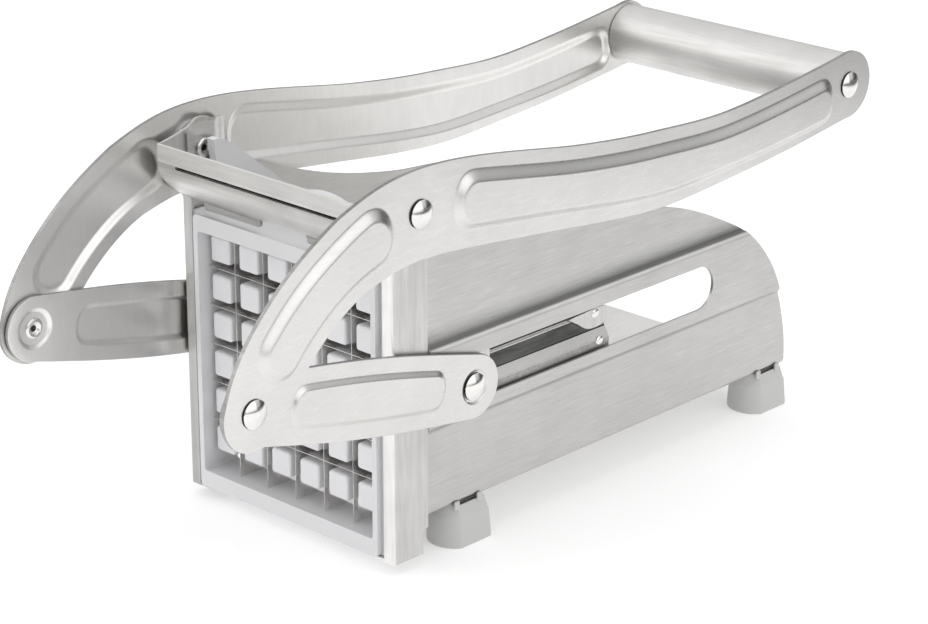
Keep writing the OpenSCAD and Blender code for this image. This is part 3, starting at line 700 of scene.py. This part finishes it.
# Free end and bottom of the hollow tails. A main pivot's head also clears the turning arm.
PIVOT_TAIL, TIP_TAIL, PIVOT_PLAY = (36.6, 37.4), (39.96, 40.7), 0.1
# The head of a link's rear rivet sits in the dish
LINK_HEAD_SINK = 0.3


def head(x):
    """Domed head on an undercut painted near black as shadow, and the material number of each band."""
    r = (DOME_R ** 2 + DOME_H ** 2) / (2 * DOME_H)
    rim = math.asin(DOME_R / r)
    dome = [(x + HEAD_H - r + r * math.cos(a), r * math.sin(a)) for a in np.linspace(rim, 0, 11)]
    return [(x, 2.9), (x + 0.3, 3.62), (x + 0.36, 3.76), (x + 0.46, HEAD_R)] + dome, [1, 1] + [0] * 12


def tail(x, floor):
    """Rolled hollow tail whose free end is at x and whose hollow ends at floor; the hollow's bottom is
    painted near black as shade.
    """
    return [(floor, 0), (floor, 0.9), (x + 0.42, 1.3), (x + 0.12, 1.5), (x + 0.01, 1.9), (x + 0.02, 2.2),
            (x + 0.16, 2.56), (x + 0.4, TAIL_R), (x + 0.58, 2.72), (x + 0.6, SHANK_R)], [1] + [0] * 8


def rivet(name, body, node, at, inner_end, x_head, side):
    """Rivet from its inner end to its head, which sits on the face at x_head."""
    (end, end_looks), (dome, dome_looks) = inner_end, head(x_head)
    v, f, looks = turned(end + [(x_head, SHANK_R)] + dome, at, looks=end_looks + [0, 0] + dome_looks)
    if side == "left":
        v, f = flipped(v, f)
    piece(name, v, f, body, [node], "bright_hardware", [chrome, dark_steel], looks)


for side in ("right", "left"):
    rivet("pivot_pin_" + side, "base", "pivot_rivet_" + side, PIVOT, tail(*PIVOT_TAIL),
          ARM_OUT + PIVOT_PLAY, side)
    rivet("tip_pin_" + side, "lever", "tip_rivet_" + side, TIP, tail(*TIP_TAIL), ARM_OUT, side)
    rivet("link_pin_" + side, "link_" + side, "link_rivet_" + side, AXLE,
          ([(LINK_X, 0), (LINK_X, SHANK_R)], [0]), LINK_OUT - LINK_HEAD_SINK, side)

dome, dome_looks = head(ARM_OUT)
profile = [(-x, r) for x, r in reversed(dome)] + [(-ARM_OUT, ROD_R), (ARM_OUT, ROD_R)] + dome
v, f, looks = turned(profile, GRIP, looks=dome_looks[::-1] + [0, 0, 0] + dome_looks)
piece("grip_rod", v, f, "lever", ["handle_rod"], "bright_hardware", [chrome, dark_steel], looks)

# Handle tube and spacers
TUBE_R, TUBE_WALL, TUBE_CHAMFER = 8.85, 1, 0.25
SPACER_R, SPACER_CHAMFER = 6.5, 0.3
profile = ring_profile(-SPACER_END, SPACER_END, TUBE_R - TUBE_WALL, TUBE_R, TUBE_CHAMFER)
mesh = turned(profile, GRIP, 96)[:2]
bevelled(piece("grip_tube", *mesh, "lever", ["handle_tube"], "handle_steel", [tube_steel]), 0.08)
profile = ring_profile(FRAME_X, SPACER_END, HOLE_R, SPACER_R, SPACER_CHAMFER)
for side, mesh in both_sides(turned(profile, PIVOT)[:2]):
    bevelled(piece("spacer_" + side, *mesh, "base", ["pivot_spacer_" + side], "light_plastic",
                   [white_plastic]), 0.1)

# Channel body: one sheet, drawn flat as Y along it and s up the panel and down across the floor
RISE, BEND_R = 12.3, 1.8
BEND_X, BEND_Z = WALL_X - BEND_R, RISE + BEND_R
BEND_S = BEND_Z - BEND_R * math.pi / 2
MIDDLE_S = BEND_S - BEND_X
REAR_END, FLOOR_FRONT, PANEL_FRONT, PANEL_LOW = 163.62, 11.8, 1.3, 14.2
# The guide's lower bend, and its upper bend as a step and a fade
GUIDE_LOW, GUIDE_BEND, GUIDE_TOP, TOP_STEP, TOP_FADE, STEP_SHARE = 35.6, 2.1, 58.9, 0.8, 3.4, 0.74
GUIDE_END = GUIDE_TOP + TOP_STEP + TOP_FADE
GUIDE_FRONT, GUIDE_RAMP = 12.5, 0.6
SLOT_FRONT, SLOT_REAR, SLOT_R, SLOT_Z = 18, 127.6, 6.4, 47.2
# The ear's two steps outwards: where each starts, how long and how high it is
STEP_1_Y, STEP_1_RUN, STEP_1_OUT = 10.6, 2.6, 0.8
STEP_2_Y, STEP_2_RUN, STEP_2_OUT = 13.3, 2.4, 0.7
# The steps grow between two heights and fade towards the ear's rear
EAR_LOW, EAR_HIGH, EAR_REAR, EAR_FADE = 84, 90, 24, 5


def body_point(v):
    """Bends the flat sheet of the right half."""
    y, s = v[:, 0], v[:, 1]
    a = np.clip((BEND_Z - s) / BEND_R, 0, math.pi / 2)
    across = np.clip(BEND_S - s, 0, None)
    out = ease((s - GUIDE_LOW) / GUIDE_BEND) - STEP_SHARE * ease((s - GUIDE_TOP) / TOP_STEP)
    fade = np.clip((s - GUIDE_TOP - TOP_STEP) / TOP_FADE, 0, 1)
    out = out - (1 - STEP_SHARE) * (1 - (1 - fade) ** 2)
    out = GUIDE_OUT * out * ease((y - GUIDE_FRONT) / GUIDE_RAMP)
    # The ear steps outwards behind the frame's flange
    jog = STEP_1_OUT * ease((y - STEP_1_Y) / STEP_1_RUN) + STEP_2_OUT * ease((y - STEP_2_Y) / STEP_2_RUN)
    jog = jog * ease((s - EAR_LOW) / (EAR_HIGH - EAR_LOW)) * ease((EAR_REAR - y) / EAR_FADE)
    x = np.where(s < BEND_Z, BEND_X + BEND_R * np.cos(a) - across, WALL_X + out + jog)
    z = np.where(s < BEND_Z, BEND_Z - BEND_R * np.sin(a), s)
    return np.column_stack([x, y, z])


REAR_EDGE = smooth([[163.7, 11.3], [163.1, 22.3], [159.7, 35.3], [153.7, 47.3], [143.3, 58.3], [130.4, 65.6],
                    [117.7, 71.2], [105.7, 75]], 10)
# The right panel's top edge stands a little higher than the left one's, which also replaces the rear
# edge in front of LEFT_START
LEFT_START = 131
TOP_EDGES = {
    "right": [[105.7, 75.2], [96, 76.1], [87.7, 76.8], [79.5, 77.5], [69.8, 78.7], [60, 80.2], [50, 82.1],
              [42, 84.2]],
    "left": [[130.4, 65.6], [118, 69.6], [105.7, 72.1], [93, 73.4], [80.4, 74.5], [68.4, 76.5], [60.5, 78.2],
             [52.8, 80.2], [45.2, 82.6]]}
FRONT_RUN = [[36.2, 85.8], [28, 89.2], [21, 92.4], [17.3, 95]]
EAR_TOP = smooth([[17.3, 95], [16.6, 98.5], [16.5, 101.5], [15.6, 103.9], [13.4, 105], [10.9, 104.7]], 5)[1:]
EAR_R = 7.3


def wall_outline(side):
    """Outline of half the flat sheet."""
    rear = REAR_EDGE[REAR_EDGE[:, 1] > PANEL_LOW]
    rear = rear[:-1] if side == "right" else rear[rear[:, 0] > LEFT_START]
    return np.vstack([[[FLOOR_FRONT, MIDDLE_S], [REAR_END, MIDDLE_S], [REAR_END, BEND_Z]], rear,
                      smooth(TOP_EDGES[side] + FRONT_RUN, 6), EAR_TOP, arc(PIVOT, EAR_R, 62, 140, 14),
                      [[PANEL_FRONT, 94], [PANEL_FRONT, PANEL_LOW], [11.2, PANEL_LOW], [FLOOR_FRONT, 13.6]]])


def body_lines():
    """Lines of the flat sheet along which it bends."""
    levels = np.concatenate([np.linspace(GUIDE_LOW, GUIDE_LOW + GUIDE_BEND, 9),
                             np.linspace(GUIDE_TOP, GUIDE_TOP + TOP_STEP, 7)[:-1],
                             np.linspace(GUIDE_TOP + TOP_STEP, GUIDE_END, 11),
                             np.linspace(BEND_Z, BEND_S, 9)])
    lines = [[(-5, s), (170, s)] for s in levels]
    ramp = np.linspace(GUIDE_FRONT, GUIDE_FRONT + GUIDE_RAMP, 5)
    lines += [[(y, GUIDE_LOW), (y, GUIDE_END)] for y in ramp]
    lines += [[(y, EAR_LOW), (y, 106)] for y in np.linspace(STEP_1_Y, STEP_2_Y + STEP_2_RUN, 17)]
    return lines + [[(2, s), (EAR_REAR, s)] for s in np.linspace(EAR_LOW, EAR_HIGH, 7)]


def body_half(side):
    """Half of the channel as a bent skin, drawn on the right."""
    slot = np.vstack([arc((SLOT_FRONT + SLOT_R, SLOT_Z), SLOT_R, 90, 270, 24),
                      arc((SLOT_REAR - SLOT_R, SLOT_Z), SLOT_R, -90, 90, 24)])
    v, f = region(wall_outline(side), [slot, circle(PIVOT, HOLE_R)], lines=body_lines())
    return body_point(v), [tuple(t) for t in f]


v, f = joined([body_half("right"), flipped(*body_half("left"))])
# The floor's underside has the second look, and each inner face the look after its outer face's. The walls'
# inner faces are a lighter copy of the steel as painted light, and the floor's top face a still lighter one,
# painted light in the channel's shade.
looks = [1 if max(v[i][2] for i in face) < RISE + 0.3 else 0 for face in f]
ob = piece("channel", v, f, "base", ["body_channel"], "brushed_sheet",
           [body_steel, inner_body_painted_light, floor_steel_painted_light], looks)
ob.modifiers.new("seam", "WELD").merge_threshold = 1e-6
solidified(ob, SHEET).material_offset = 1
bevelled(ob, 0.15, angle=50)

# Front frame: one sheet, drawn flat as t across the face and back along the flange, and Z up
CORNER = 1.0
FRONT_T = FRAME_X - CORNER
CORNER_T = CORNER * math.pi / 2
FRAME_LOW, WINDOW_TOP, CROSSBAR_LOW, BAR_Z = 3.2, 86, 87.5, 102
LIP_ROOT, LIP_LOW, LIP_R, LIP_IN, LIP_END = 86.3, 83.9, 0.8, 8.6, 30.4
SLIT_LOW, SLIT_HIGH, SLIT_END = 96.45, 97.35, 31.9
SLIT_R = (SLIT_HIGH - SLIT_LOW) / 2
FLANGE_D, FLANGE_FOOT_D, FRAME_EAR_R = 12.4, 10.5, 8.3


def bar_profile():
    """Heights up the front face, and the face's Y at each: upright, then flared at the crossbar."""
    curve = bezier([-8.4, 96.4], [-8.2, 92], [-4.2, 89.6], [0, WINDOW_TOP], 60)[::-1]
    heights = np.arange(60, 110, 0.05)
    kernel = np.hanning(71)
    pad = len(kernel) // 2
    y = np.pad(np.interp(heights, curve[:, 1], curve[:, 0]), pad, mode="edge")
    return heights, np.convolve(y, kernel / kernel.sum(), "valid")


BAR_PROFILE = bar_profile()


def face_y(z):
    return np.interp(z, *BAR_PROFILE)


def frame_point(v):
    """Bends the flat sheet of the right half."""
    t, z = v[:, 0], v[:, 1]
    a = np.clip((t - FRONT_T) / CORNER, 0, math.pi / 2)
    x = np.where(t < FRONT_T, t, FRONT_T + CORNER * np.sin(a))
    y = face_y(z) + CORNER * (1 - np.cos(a)) + np.clip(t - FRONT_T - CORNER_T, 0, None)
    return np.column_stack([x, y, z])


def flange(pts):
    """Side-view points (Y, Z) as places on the flat sheet."""
    p = np.asarray(pts, float)
    return np.column_stack([p[:, 0] - face_y(p[:, 1]) - CORNER + FRONT_T + CORNER_T, p[:, 1]])


def frame_outline():
    """Outline of half the flat sheet: window, lip, strip, flange, ear and slit, in this order."""
    lip = np.vstack([[[LIP_IN, LIP_ROOT]], arc((LIP_IN + 1, LIP_LOW + LIP_R), LIP_R, 180, 270, 4),
                     arc((LIP_END - 1, LIP_LOW + LIP_R), LIP_R, -90, 0, 4), [[LIP_END, LIP_ROOT]]])
    strip = np.vstack([[[34.6, LIP_ROOT]], arc((34.7, 85.5), 0.8, 90, 0, 4),
                       [[35.5, FRAME_LOW], [FRONT_T, FRAME_LOW]]])
    side = np.vstack([[[FLANGE_FOOT_D, FRAME_LOW], [FLANGE_FOOT_D, 8.0]],
                      arc((FLANGE_D, 8.4), 1.9, 180, 90, 6), [[FLANGE_D, z] for z in np.linspace(60, 96, 37)],
                      arc(PIVOT, FRAME_EAR_R, 47, 100, 16),
                      [[2.15, 104.1], [0.6, 103.9], [-0.55, 103.4], [-4, 102.6], [-6.5, 102.1]]])
    slit = np.vstack([[[0, SLIT_HIGH]], arc((SLIT_END - SLIT_R, SLIT_LOW + SLIT_R), SLIT_R, 90, -90, 8),
                      [[0, SLIT_LOW]]])
    return np.vstack([[[0, LIP_ROOT]], lip, strip, flange(side), [[FRONT_T + 0.7, BAR_Z], [0, BAR_Z]], slit])


def frame_looks(mids):
    """Material numbers by the place of each face on the flat sheet: 0 on the strips, 1 on the flanges
    and ears, 2 on the crossbar and 4 on the lips. The flanges, ears, crossbar and lips get darker copies
    of the strips' steel, as painted shade."""
    t, z = mids[:, 0], mids[:, 1]
    looks = np.where(z > CROSSBAR_LOW, 2, 0)
    looks[(z > 83) & (z < LIP_ROOT) & (t < 31)] = 4
    looks[t > FRONT_T + CORNER_T * 0.6] = 1
    return looks


lines = [[(0, z), (62, z)] for z in np.arange(84.2, 98.2, 0.4)]
lines += [[(t, 0), (t, 106)] for t in np.linspace(FRONT_T, FRONT_T + CORNER_T, 7)]
v, f = region(frame_outline(), [flange(circle(PIVOT, HOLE_R))], lines=lines)
ob = piece("front_sheet", frame_point(v), [tuple(t) for t in f], "base", ["front_frame"], "stamped_steel",
           [frame_steel, flange_steel, rim_steel_painted_shade, edge_steel_painted_highlight, lip_steel_painted_shade], frame_looks(v[f].mean(1)))
mirrored(ob)
# The cut edges have the look after that of their outer face: the crossbar's edges get a painted highlight and
# the strips' edges the flanges' painted shade
solidified(ob, FRAME_T).material_offset_rim = 1
bevelled(ob, 0.2, angle=50)

# A strip behind the slit whose front face is painted near black as the slit's shadow, and the tabs under the
# cassette
v, f = box_mesh(-SLIT_END - 1.1, SLIT_END + 1.1, -7.25, -6.9, 95.4, 98.6)
piece("slit_painted_shadow", v, f, "base", (), "stamped_steel", [frame_steel, rail_steel], facing(v, f, (0, -1, 0)))
for side, mesh in both_sides(box_mesh(29.5, 35.6, 0.05, 10, FRAME_LOW, FRAME_LOW + FRAME_T)):
    bevelled(piece("frame_tab_" + side, *mesh, "base", (), "stamped_steel", [frame_steel]), 0.2)

# Cassette: a rim that stands in the window, and a wider flange behind the strips
CASSETTE_FRONT, CASSETTE_BACK = -1, 11
CASSETTE_LOW, CASSETTE_TOP = 4.15, 82.3
RIM_HALF, WIDE_HALF, OPENING_HALF, OPENING_LOW, OPENING_TOP = 34, 37, 32.35, 9, 77.8
# The flange's outline stands inside the rim's and its opening outside, so that no faces coincide
INSIDE, OUTSIDE = 0.05, 0.85
rim = rounded(-RIM_HALF, RIM_HALF, CASSETTE_LOW, CASSETTE_TOP, 1.4)
opening = rounded(-OPENING_HALF, OPENING_HALF, OPENING_LOW, OPENING_TOP, 0.9)
wide = rounded(-WIDE_HALF, WIDE_HALF, CASSETTE_LOW + INSIDE, CASSETTE_TOP - INSIDE, 0.8)
wide_opening = rounded(-OPENING_HALF - OUTSIDE, OPENING_HALF + OUTSIDE,
                       OPENING_LOW - 0.9, OPENING_TOP + 0.9, 0.9)
mesh = joined([prism(*region(rim, [opening]), CASSETTE_FRONT, CASSETTE_BACK),
               prism(*region(wide, [wide_opening]), FRAME_T + INSIDE, CASSETTE_BACK - 2 * INSIDE)])
bevelled(piece("cassette", *mesh, "base", ["cassette_frame"], "grey_plastic", [cassette_plastic]), 0.35, 3)

# Blades
BLADE_HALF, EDGE_HALF = 0.25, 0.06
BLADE_EDGE_Y, BLADE_GROUND_Y, BLADE_BACK_Y = 2.5, 3.9, 10.5
UPRIGHT_ENDS, LEVEL_ENDS = (7.5, 79.3), (-33.85, 33.85)


def blade(centre, upright):
    """A blade with a ground front edge: its section in (across, Y), run along Z or X."""
    half = [(BLADE_HALF, BLADE_BACK_Y), (BLADE_HALF, BLADE_GROUND_Y), (EDGE_HALF, BLADE_EDGE_Y)]
    section = [(-c, y) for c, y in half] + half[::-1]
    if upright:
        return lofted([np.array([(centre + c, y, end) for c, y in section]) for end in UPRIGHT_ENDS])
    return lofted([np.array([(end, y, centre + c) for c, y in section]) for end in LEVEL_ENDS[::-1]])


for name, node, upright in (("blades_upright", "vertical_blades", True),
                            ("blades_level", "horizontal_blades", False)):
    mesh = joined([blade(lane if upright else GRID_Z + lane, upright) for lane in LANES])
    piece(name, *mesh, "base", [node], "blade_steel", [blade_steel]).data.shade_flat()

# Pusher: a plate with an arched top, two tall side fins and the pegs
PLATE_FRONT, PLATE_BACK, PLATE_LOW, PLATE_HALF, PLATE_TOP = 12.2, 15.8, 13.7, 36.7, 82
ARCH_HALF, ARCH_RISE, ARCH_TOP = 20, 10, 92
FIN_X, FIN_OUT, FIN_BACK = 33.3, 35.9, 57.8
PEG_HALF, PEG_CORNER, PEG_CORNER_LEAST = 3.6, 0.95, 0.25
# Y and inset of a peg's outline, from its root to its rounded face
PEG_ROWS = ((12.3, 0), (3.0, 0), (2.62, 0.07), (2.36, 0.24), (2.23, 0.48), (2.2, 0.75))


def peg(cx, cz):
    """A square peg, open where it meets the plate."""
    rows = []
    for y, inset in PEG_ROWS:
        w = PEG_HALF - inset
        p = rounded(cx - w, cx + w, cz - w, cz + w, max(PEG_CORNER - inset, PEG_CORNER_LEAST), 4)
        rows.append(np.column_stack([p[:, 0], np.full(len(p), y), p[:, 1]]))
    return lofted(rows, (False, True))


def peg_plate():
    """Plate behind the pegs, with an arched top."""
    r = (ARCH_HALF ** 2 + ARCH_RISE ** 2) / (2 * ARCH_RISE)
    a = math.degrees(math.asin(ARCH_HALF / r)) * 0.86
    top = smooth(np.vstack([[[27, PLATE_TOP], [22, PLATE_TOP + 0.4]],
                            arc((0, ARCH_TOP - r), r, 90 - a, 90 + a, 8),
                            [[-22, PLATE_TOP + 0.4], [-27, PLATE_TOP]]]), 5)
    outline = np.vstack([[[-PLATE_HALF, PLATE_LOW], [PLATE_HALF, PLATE_LOW], [PLATE_HALF, PLATE_TOP]], top,
                         [[-PLATE_HALF, PLATE_TOP]]])
    return prism(*region(outline), PLATE_FRONT, PLATE_BACK)


def fin():
    """Right side fin, which reaches up to the main pivots."""
    edge = smooth([[FIN_BACK, 35.7], [45.8, 68], [32.8, 82.4], [22.8, 90.8], [13.4, 98.4], [9.2, 100.8],
                   [6.5, 101]], 8)
    outline = np.vstack([edge, [[8.8, 85.3], [PLATE_FRONT, 83.1], [PLATE_FRONT, PLATE_LOW],
                                [FIN_BACK, PLATE_LOW]]])
    return level_slab(*region(outline[::-1]), FIN_OUT, FIN_X)


pegs = [peg(cx, GRID_Z + cz) for cx in CELLS for cz in CELLS]
v, f = joined([peg_plate(), fin(), flipped(*fin())] + pegs)
# The fins' faces have the second look, a greyer copy of the white plastic as painted shade, and their edges
# the third, a lighter copy as painted highlight
level = [a + b for a, b in zip(facing(v, f, (1, 0, 0), 0.7), facing(v, f, (-1, 0, 0), 0.7))]
looks = [2 - k if min(abs(v[i][0]) for i in face) > FIN_X - 0.1 else 0 for face, k in zip(f, level)]
bevelled(piece("pusher_plastic", v, f, "pusher", ["pusher_block"], "light_plastic",
               [white_plastic, cassette_plastic, edge_plastic_painted_highlight], looks), 0.3, 2, 50)

# Carrier: two folded side rails and the cross strip that holds them
RAIL_BACK = 84.4
RAIL_LINE = [(38.2, 38.4), (38.2, 43.1), (38.0, 43.4), (36.6, 45.7), (36.3, 46.1), (36.3, 50.2),
             (36.1, 50.6), (36.05, 50.9), (36, 51), (36, 56)]
# Heights between which the rail's folds lie
LOWER_FOLD, UPPER_FOLD = (43.2, 45.9), (50.2, 50.96)
section = RAIL_LINE + [(x - SHEET, z) for x, z in reversed(RAIL_LINE)]
rail = lofted([np.array([(x, y, z) for x, z in section])[::-1] for y in (PLATE_BACK, RAIL_BACK)])
cross = prism(*region(rounded(-37.2, 37.2, 34.5, 56.1, 1.5)), PLATE_BACK, PLATE_BACK + SHEET)
v, f = joined([rail, flipped(*rail), cross])


def rail_look(y, z):
    """Material number: the upper flange is painted near black as shadow, the folds painted light as
    highlight, the lower flange a painted dark grey as shade and the rest painted darker still as shade.
    """
    if z > UPPER_FOLD[1] and y > PLATE_BACK + SHEET + 0.1:
        return 2
    if LOWER_FOLD[0] < z < LOWER_FOLD[1] or UPPER_FOLD[0] < z < UPPER_FOLD[1]:
        return 1
    return 3 if z < LOWER_FOLD[0] else 0


looks = [rail_look(*v[list(face)].mean(0)[1:]) for face in f]
bevelled(piece("carrier", v, f, "pusher", ["pusher_carrier"], "carrier_steel",
               [rail_steel, rail_painted_highlight, dark_steel, lip_steel_painted_shade], looks), 0.15, 2, 50)

# End tabs, brackets and rivets of the rails, and the axle
tab_line = smooth([[68.6, 51.6], [74, 51.9], [83.4, 51.9], [83.6, 47.6], [80, 46.7], [76, 47.2],
                   [72, 49.6], [68.6, 51.6]], 5)[:-1]
tab = level_slab(*region(tab_line[::-1]), 37.4, 36.6)
bracket = prism(*region(rounded(37.7, 38.5, 39, 54.5, 0.2)), 16.7, 36.4)
v, f = joined([tab, flipped(*tab), bracket, flipped(*bracket)])
bevelled(piece("rail_fittings", v, f, "pusher", (), "bright_hardware", [flange_steel]), 0.12, 2, 50)
for name, at, x0 in (("upper", (79.6, 50.6), 37.3), ("lower", (80.6, 42.6), 38.1)):
    dome = [(x0, 1.5), (x0 + 0.25, 1.35), (x0 + 0.42, 0.9), (x0 + 0.48, 0)]
    for side, mesh in both_sides(turned(dome, at)[:2]):
        piece("rail_rivet_%s_%s" % (name, side), *mesh, "pusher", (), "bright_hardware", [chrome])
AXLE_R, AXLE_CHAMFER = 3.2, 0.2
mesh = turned(ring_profile(-GUIDE_X, GUIDE_X, 0, AXLE_R, AXLE_CHAMFER)[:-1], AXLE)[:2]
bevelled(piece("cross_axle", *mesh, "pusher", ["pusher_axle"], "bright_hardware", [rail_steel]), 0.1)

# Feet
FOOT_X, FOOT_HALF, FOOT_LEN, FOOT_FRONT_R = 33.5, 6.5, 15, 7.6
# How far the sides lean inwards, and the height of each row
FOOT_ROWS = ((0.5, 0), (0.18, 0.12), (0.02, 0.5), (0.06, 1.5), (0.5, 8.3), (0.7, 8.9), (1.42, 12),
             (1.7, 12.28))
# Each foot's front, and the hooks and the slot behind it; the slot is a near-black box, a painted shadow
FOOT_PLACES = (("front", 20.9), ("rear", 148.4))
HOOK_PLACES, HOOK_LEN, SLOT_PLACE = (1.9, 10.5), 1.9, (3.6, 10.7)


def foot_ring(y0, lean, z):
    """Level outline of a foot, with a bowed front."""
    w, r = FOOT_HALF - lean, FOOT_FRONT_R - lean
    half = math.asin(w / r)
    p = [(FOOT_X + w, FOOT_LEN - lean)]
    p += [(FOOT_X + r * math.sin(a), FOOT_FRONT_R - r * math.cos(a)) for a in np.linspace(half, -half, 25)]
    p += [(FOOT_X - w, FOOT_LEN - lean)]
    return np.array([(x, y0 + y, z) for x, y in p])[::-1]


def foot(y0):
    """A foot with two hooks over the channel's lower edge."""
    hooks = [box_mesh(38.42, 39.1, y0 + y, y0 + y + HOOK_LEN, 11, 13.6) for y in HOOK_PLACES]
    return joined([lofted([foot_ring(y0, lean, z) for lean, z in FOOT_ROWS])] + hooks)


for name, y0 in FOOT_PLACES:
    # A near-black box at the panel's edge paints the slot's shadow
    slot = box_mesh(38.3, 38.62, y0 + SLOT_PLACE[0], y0 + SLOT_PLACE[1], 12.1, 12.65)
    for (side, mesh), (_, slot_mesh) in zip(both_sides(foot(y0)), both_sides(slot)):
        bevelled(piece("pad_%s_%s" % (name, side), *mesh, "base", ["foot_%s_%s" % (name, side)],
                       "grey_plastic", [foot_plastic]), 0.3, 2, 50)
        piece("pad_slot_%s_%s" % (name, side), *slot_mesh, "base", (), "stamped_steel", [dark_steel])

# Stage, in metres
PAPER_GREY, PAPER_ROUGH, PAPER_GLOW = (0.86, 0.9), 0.9, 0.3


def paper(name, corners, z):
    """A flat sheet of faintly mottled paper that glows a little, with its nodes and its grey."""
    mesh = bpy.data.meshes.new(name)
    mesh.from_pydata([(x, y, z) for x, y in corners], [], [(0, 1, 2, 3)])
    ob = bpy.data.objects.new(name, mesh)
    bpy.context.scene.collection.objects.link(ob)
    m, t, p = nodes_of(name + "_paper")
    mesh.materials.append(m)
    p.inputs["Roughness"].default_value = PAPER_ROUGH
    p.inputs["Emission Color"].default_value = (1, 1, 1, 1)
    p.inputs["Emission Strength"].default_value = PAPER_GLOW
    return ob, t, p, ranged(t, noise(t, (8, 8, 8)), *PAPER_GREY)


floor_ob, t, p, grey = paper("floor", [(-4, -4), (4, -4), (4, 4), (-4, 4)], 0)
shade(t, grey, p, (1, 1, 1))

# A card that fades to dark, lying to the right of the part. It shows only in reflections.
CARD_WAY, CARD_SIDE = np.array([0.69, 0.724]), np.array([-0.724, 0.69])
CARD_NEAR, CARD_FAR, CARD_HALF, CARD_Z = 0.3, 4, 3, 0.0004
# The card is white up to the first distance and dark from the second on
CARD_DARK, CARD_FADE = 0.12, (0.35, 0.57)
places = ((CARD_NEAR, -CARD_HALF), (CARD_FAR, -CARD_HALF), (CARD_FAR, CARD_HALF), (CARD_NEAR, CARD_HALF))
card_ob, t, p, grey = paper("card", [CARD_WAY * a + CARD_SIDE * b for a, b in places], CARD_Z)
distance = along(t, coordinates(t, "Object")[0], (*CARD_WAY, 0))
fade = ranged(t, distance, 1, CARD_DARK, *CARD_FADE)
shade(t, combined(t, grey, fade, "MULTIPLY"), p, (1, 1, 1))
t.links.new(combined(t, PAPER_GLOW, fade, "MULTIPLY"), p.inputs["Emission Strength"])
card_ob.visible_camera = False
card_ob.visible_diffuse = False
card_ob.visible_shadow = False

# Surroundings: a grey for each height, from straight down to straight up, and a dark patch low at the rear
SKY = ((0.0, 0.85), (0.47, 0.85), (0.49, 0.25), (0.52, 0.25), (0.555, 0.7), (0.62, 0.85), (0.7, 1.0),
       (1.0, 1.0))
SKY_STRENGTH, DARK_WAY = 0.75, (0.2, 0.98, 0)
world = bpy.data.worlds.new("studio")
bpy.context.scene.world = world
world.use_nodes = True
t = world.node_tree
co, axes = coordinates(t, "Generated")
sky = ramped(t, ranged(t, axes["Z"], 0, 1, -1, 1), SKY)
gloom = ranged(t, along(t, co, DARK_WAY), 0, SKY_STRENGTH, 0.84, 0.96, "SMOOTHSTEP")
low_down = ranged(t, axes["Z"], SKY_STRENGTH, 0, 0.25, 0.5, "SMOOTHSTEP")
background = t.nodes["Background"]
t.links.new(sky, background.inputs["Color"])
t.links.new(combined(t, SKY_STRENGTH, combined(t, gloom, low_down, "MULTIPLY"), "SUBTRACT"),
            background.inputs["Strength"])


def lamp(name, at, to, size, power):
    d = bpy.data.lights.new(name, "AREA")
    d.shape = "RECTANGLE"
    d.size, d.size_y = size
    d.energy = power
    o = bpy.data.objects.new(name, d)
    o.location = at
    o.rotation_euler = (Vector(to) - Vector(at)).to_track_quat("-Z", "Y").to_euler()
    bpy.context.scene.collection.objects.link(o)


lamp("key", (-0.8, -0.75, 0.68), (0, 0.05, 0.06), (1.5, 1.1), 4.0)
lamp("right", (1.15, 0.05, 0.55), (0, 0, 0.05), (1.3, 1.1), 3.2)
lamp("top", (0, 0.2, 1.5), (0, 0, 0), (1.0, 1.0), 3.0)


def camera(azimuth, elevation, roll, lens, at):
    """Camera by its angles in degrees, its lens in millimetres and its place in metres."""
    az, el, ro = (math.radians(a) for a in (azimuth, elevation, roll))
    back = Vector((math.sin(az) * math.cos(el), -math.cos(az) * math.cos(el), math.sin(el)))
    level = Vector((math.cos(az), math.sin(az), 0))
    upright = back.cross(level)
    right = math.cos(ro) * level + math.sin(ro) * upright
    up = -math.sin(ro) * level + math.cos(ro) * upright
    data = bpy.data.cameras.new("camera")
    data.sensor_width = 36
    data.lens = lens
    cam = bpy.data.objects.new("camera", data)
    bpy.context.scene.collection.objects.link(cam)
    cam.matrix_world = Matrix.Translation(at) @ Matrix((right, up, back)).transposed().to_4x4()
    return cam


bpy.context.scene.camera = camera(43.43, 20.55, 0.07, 112.37, (0.5162, -0.5449, 0.3262))
bpy.context.scene.view_settings.view_transform = "Standard"
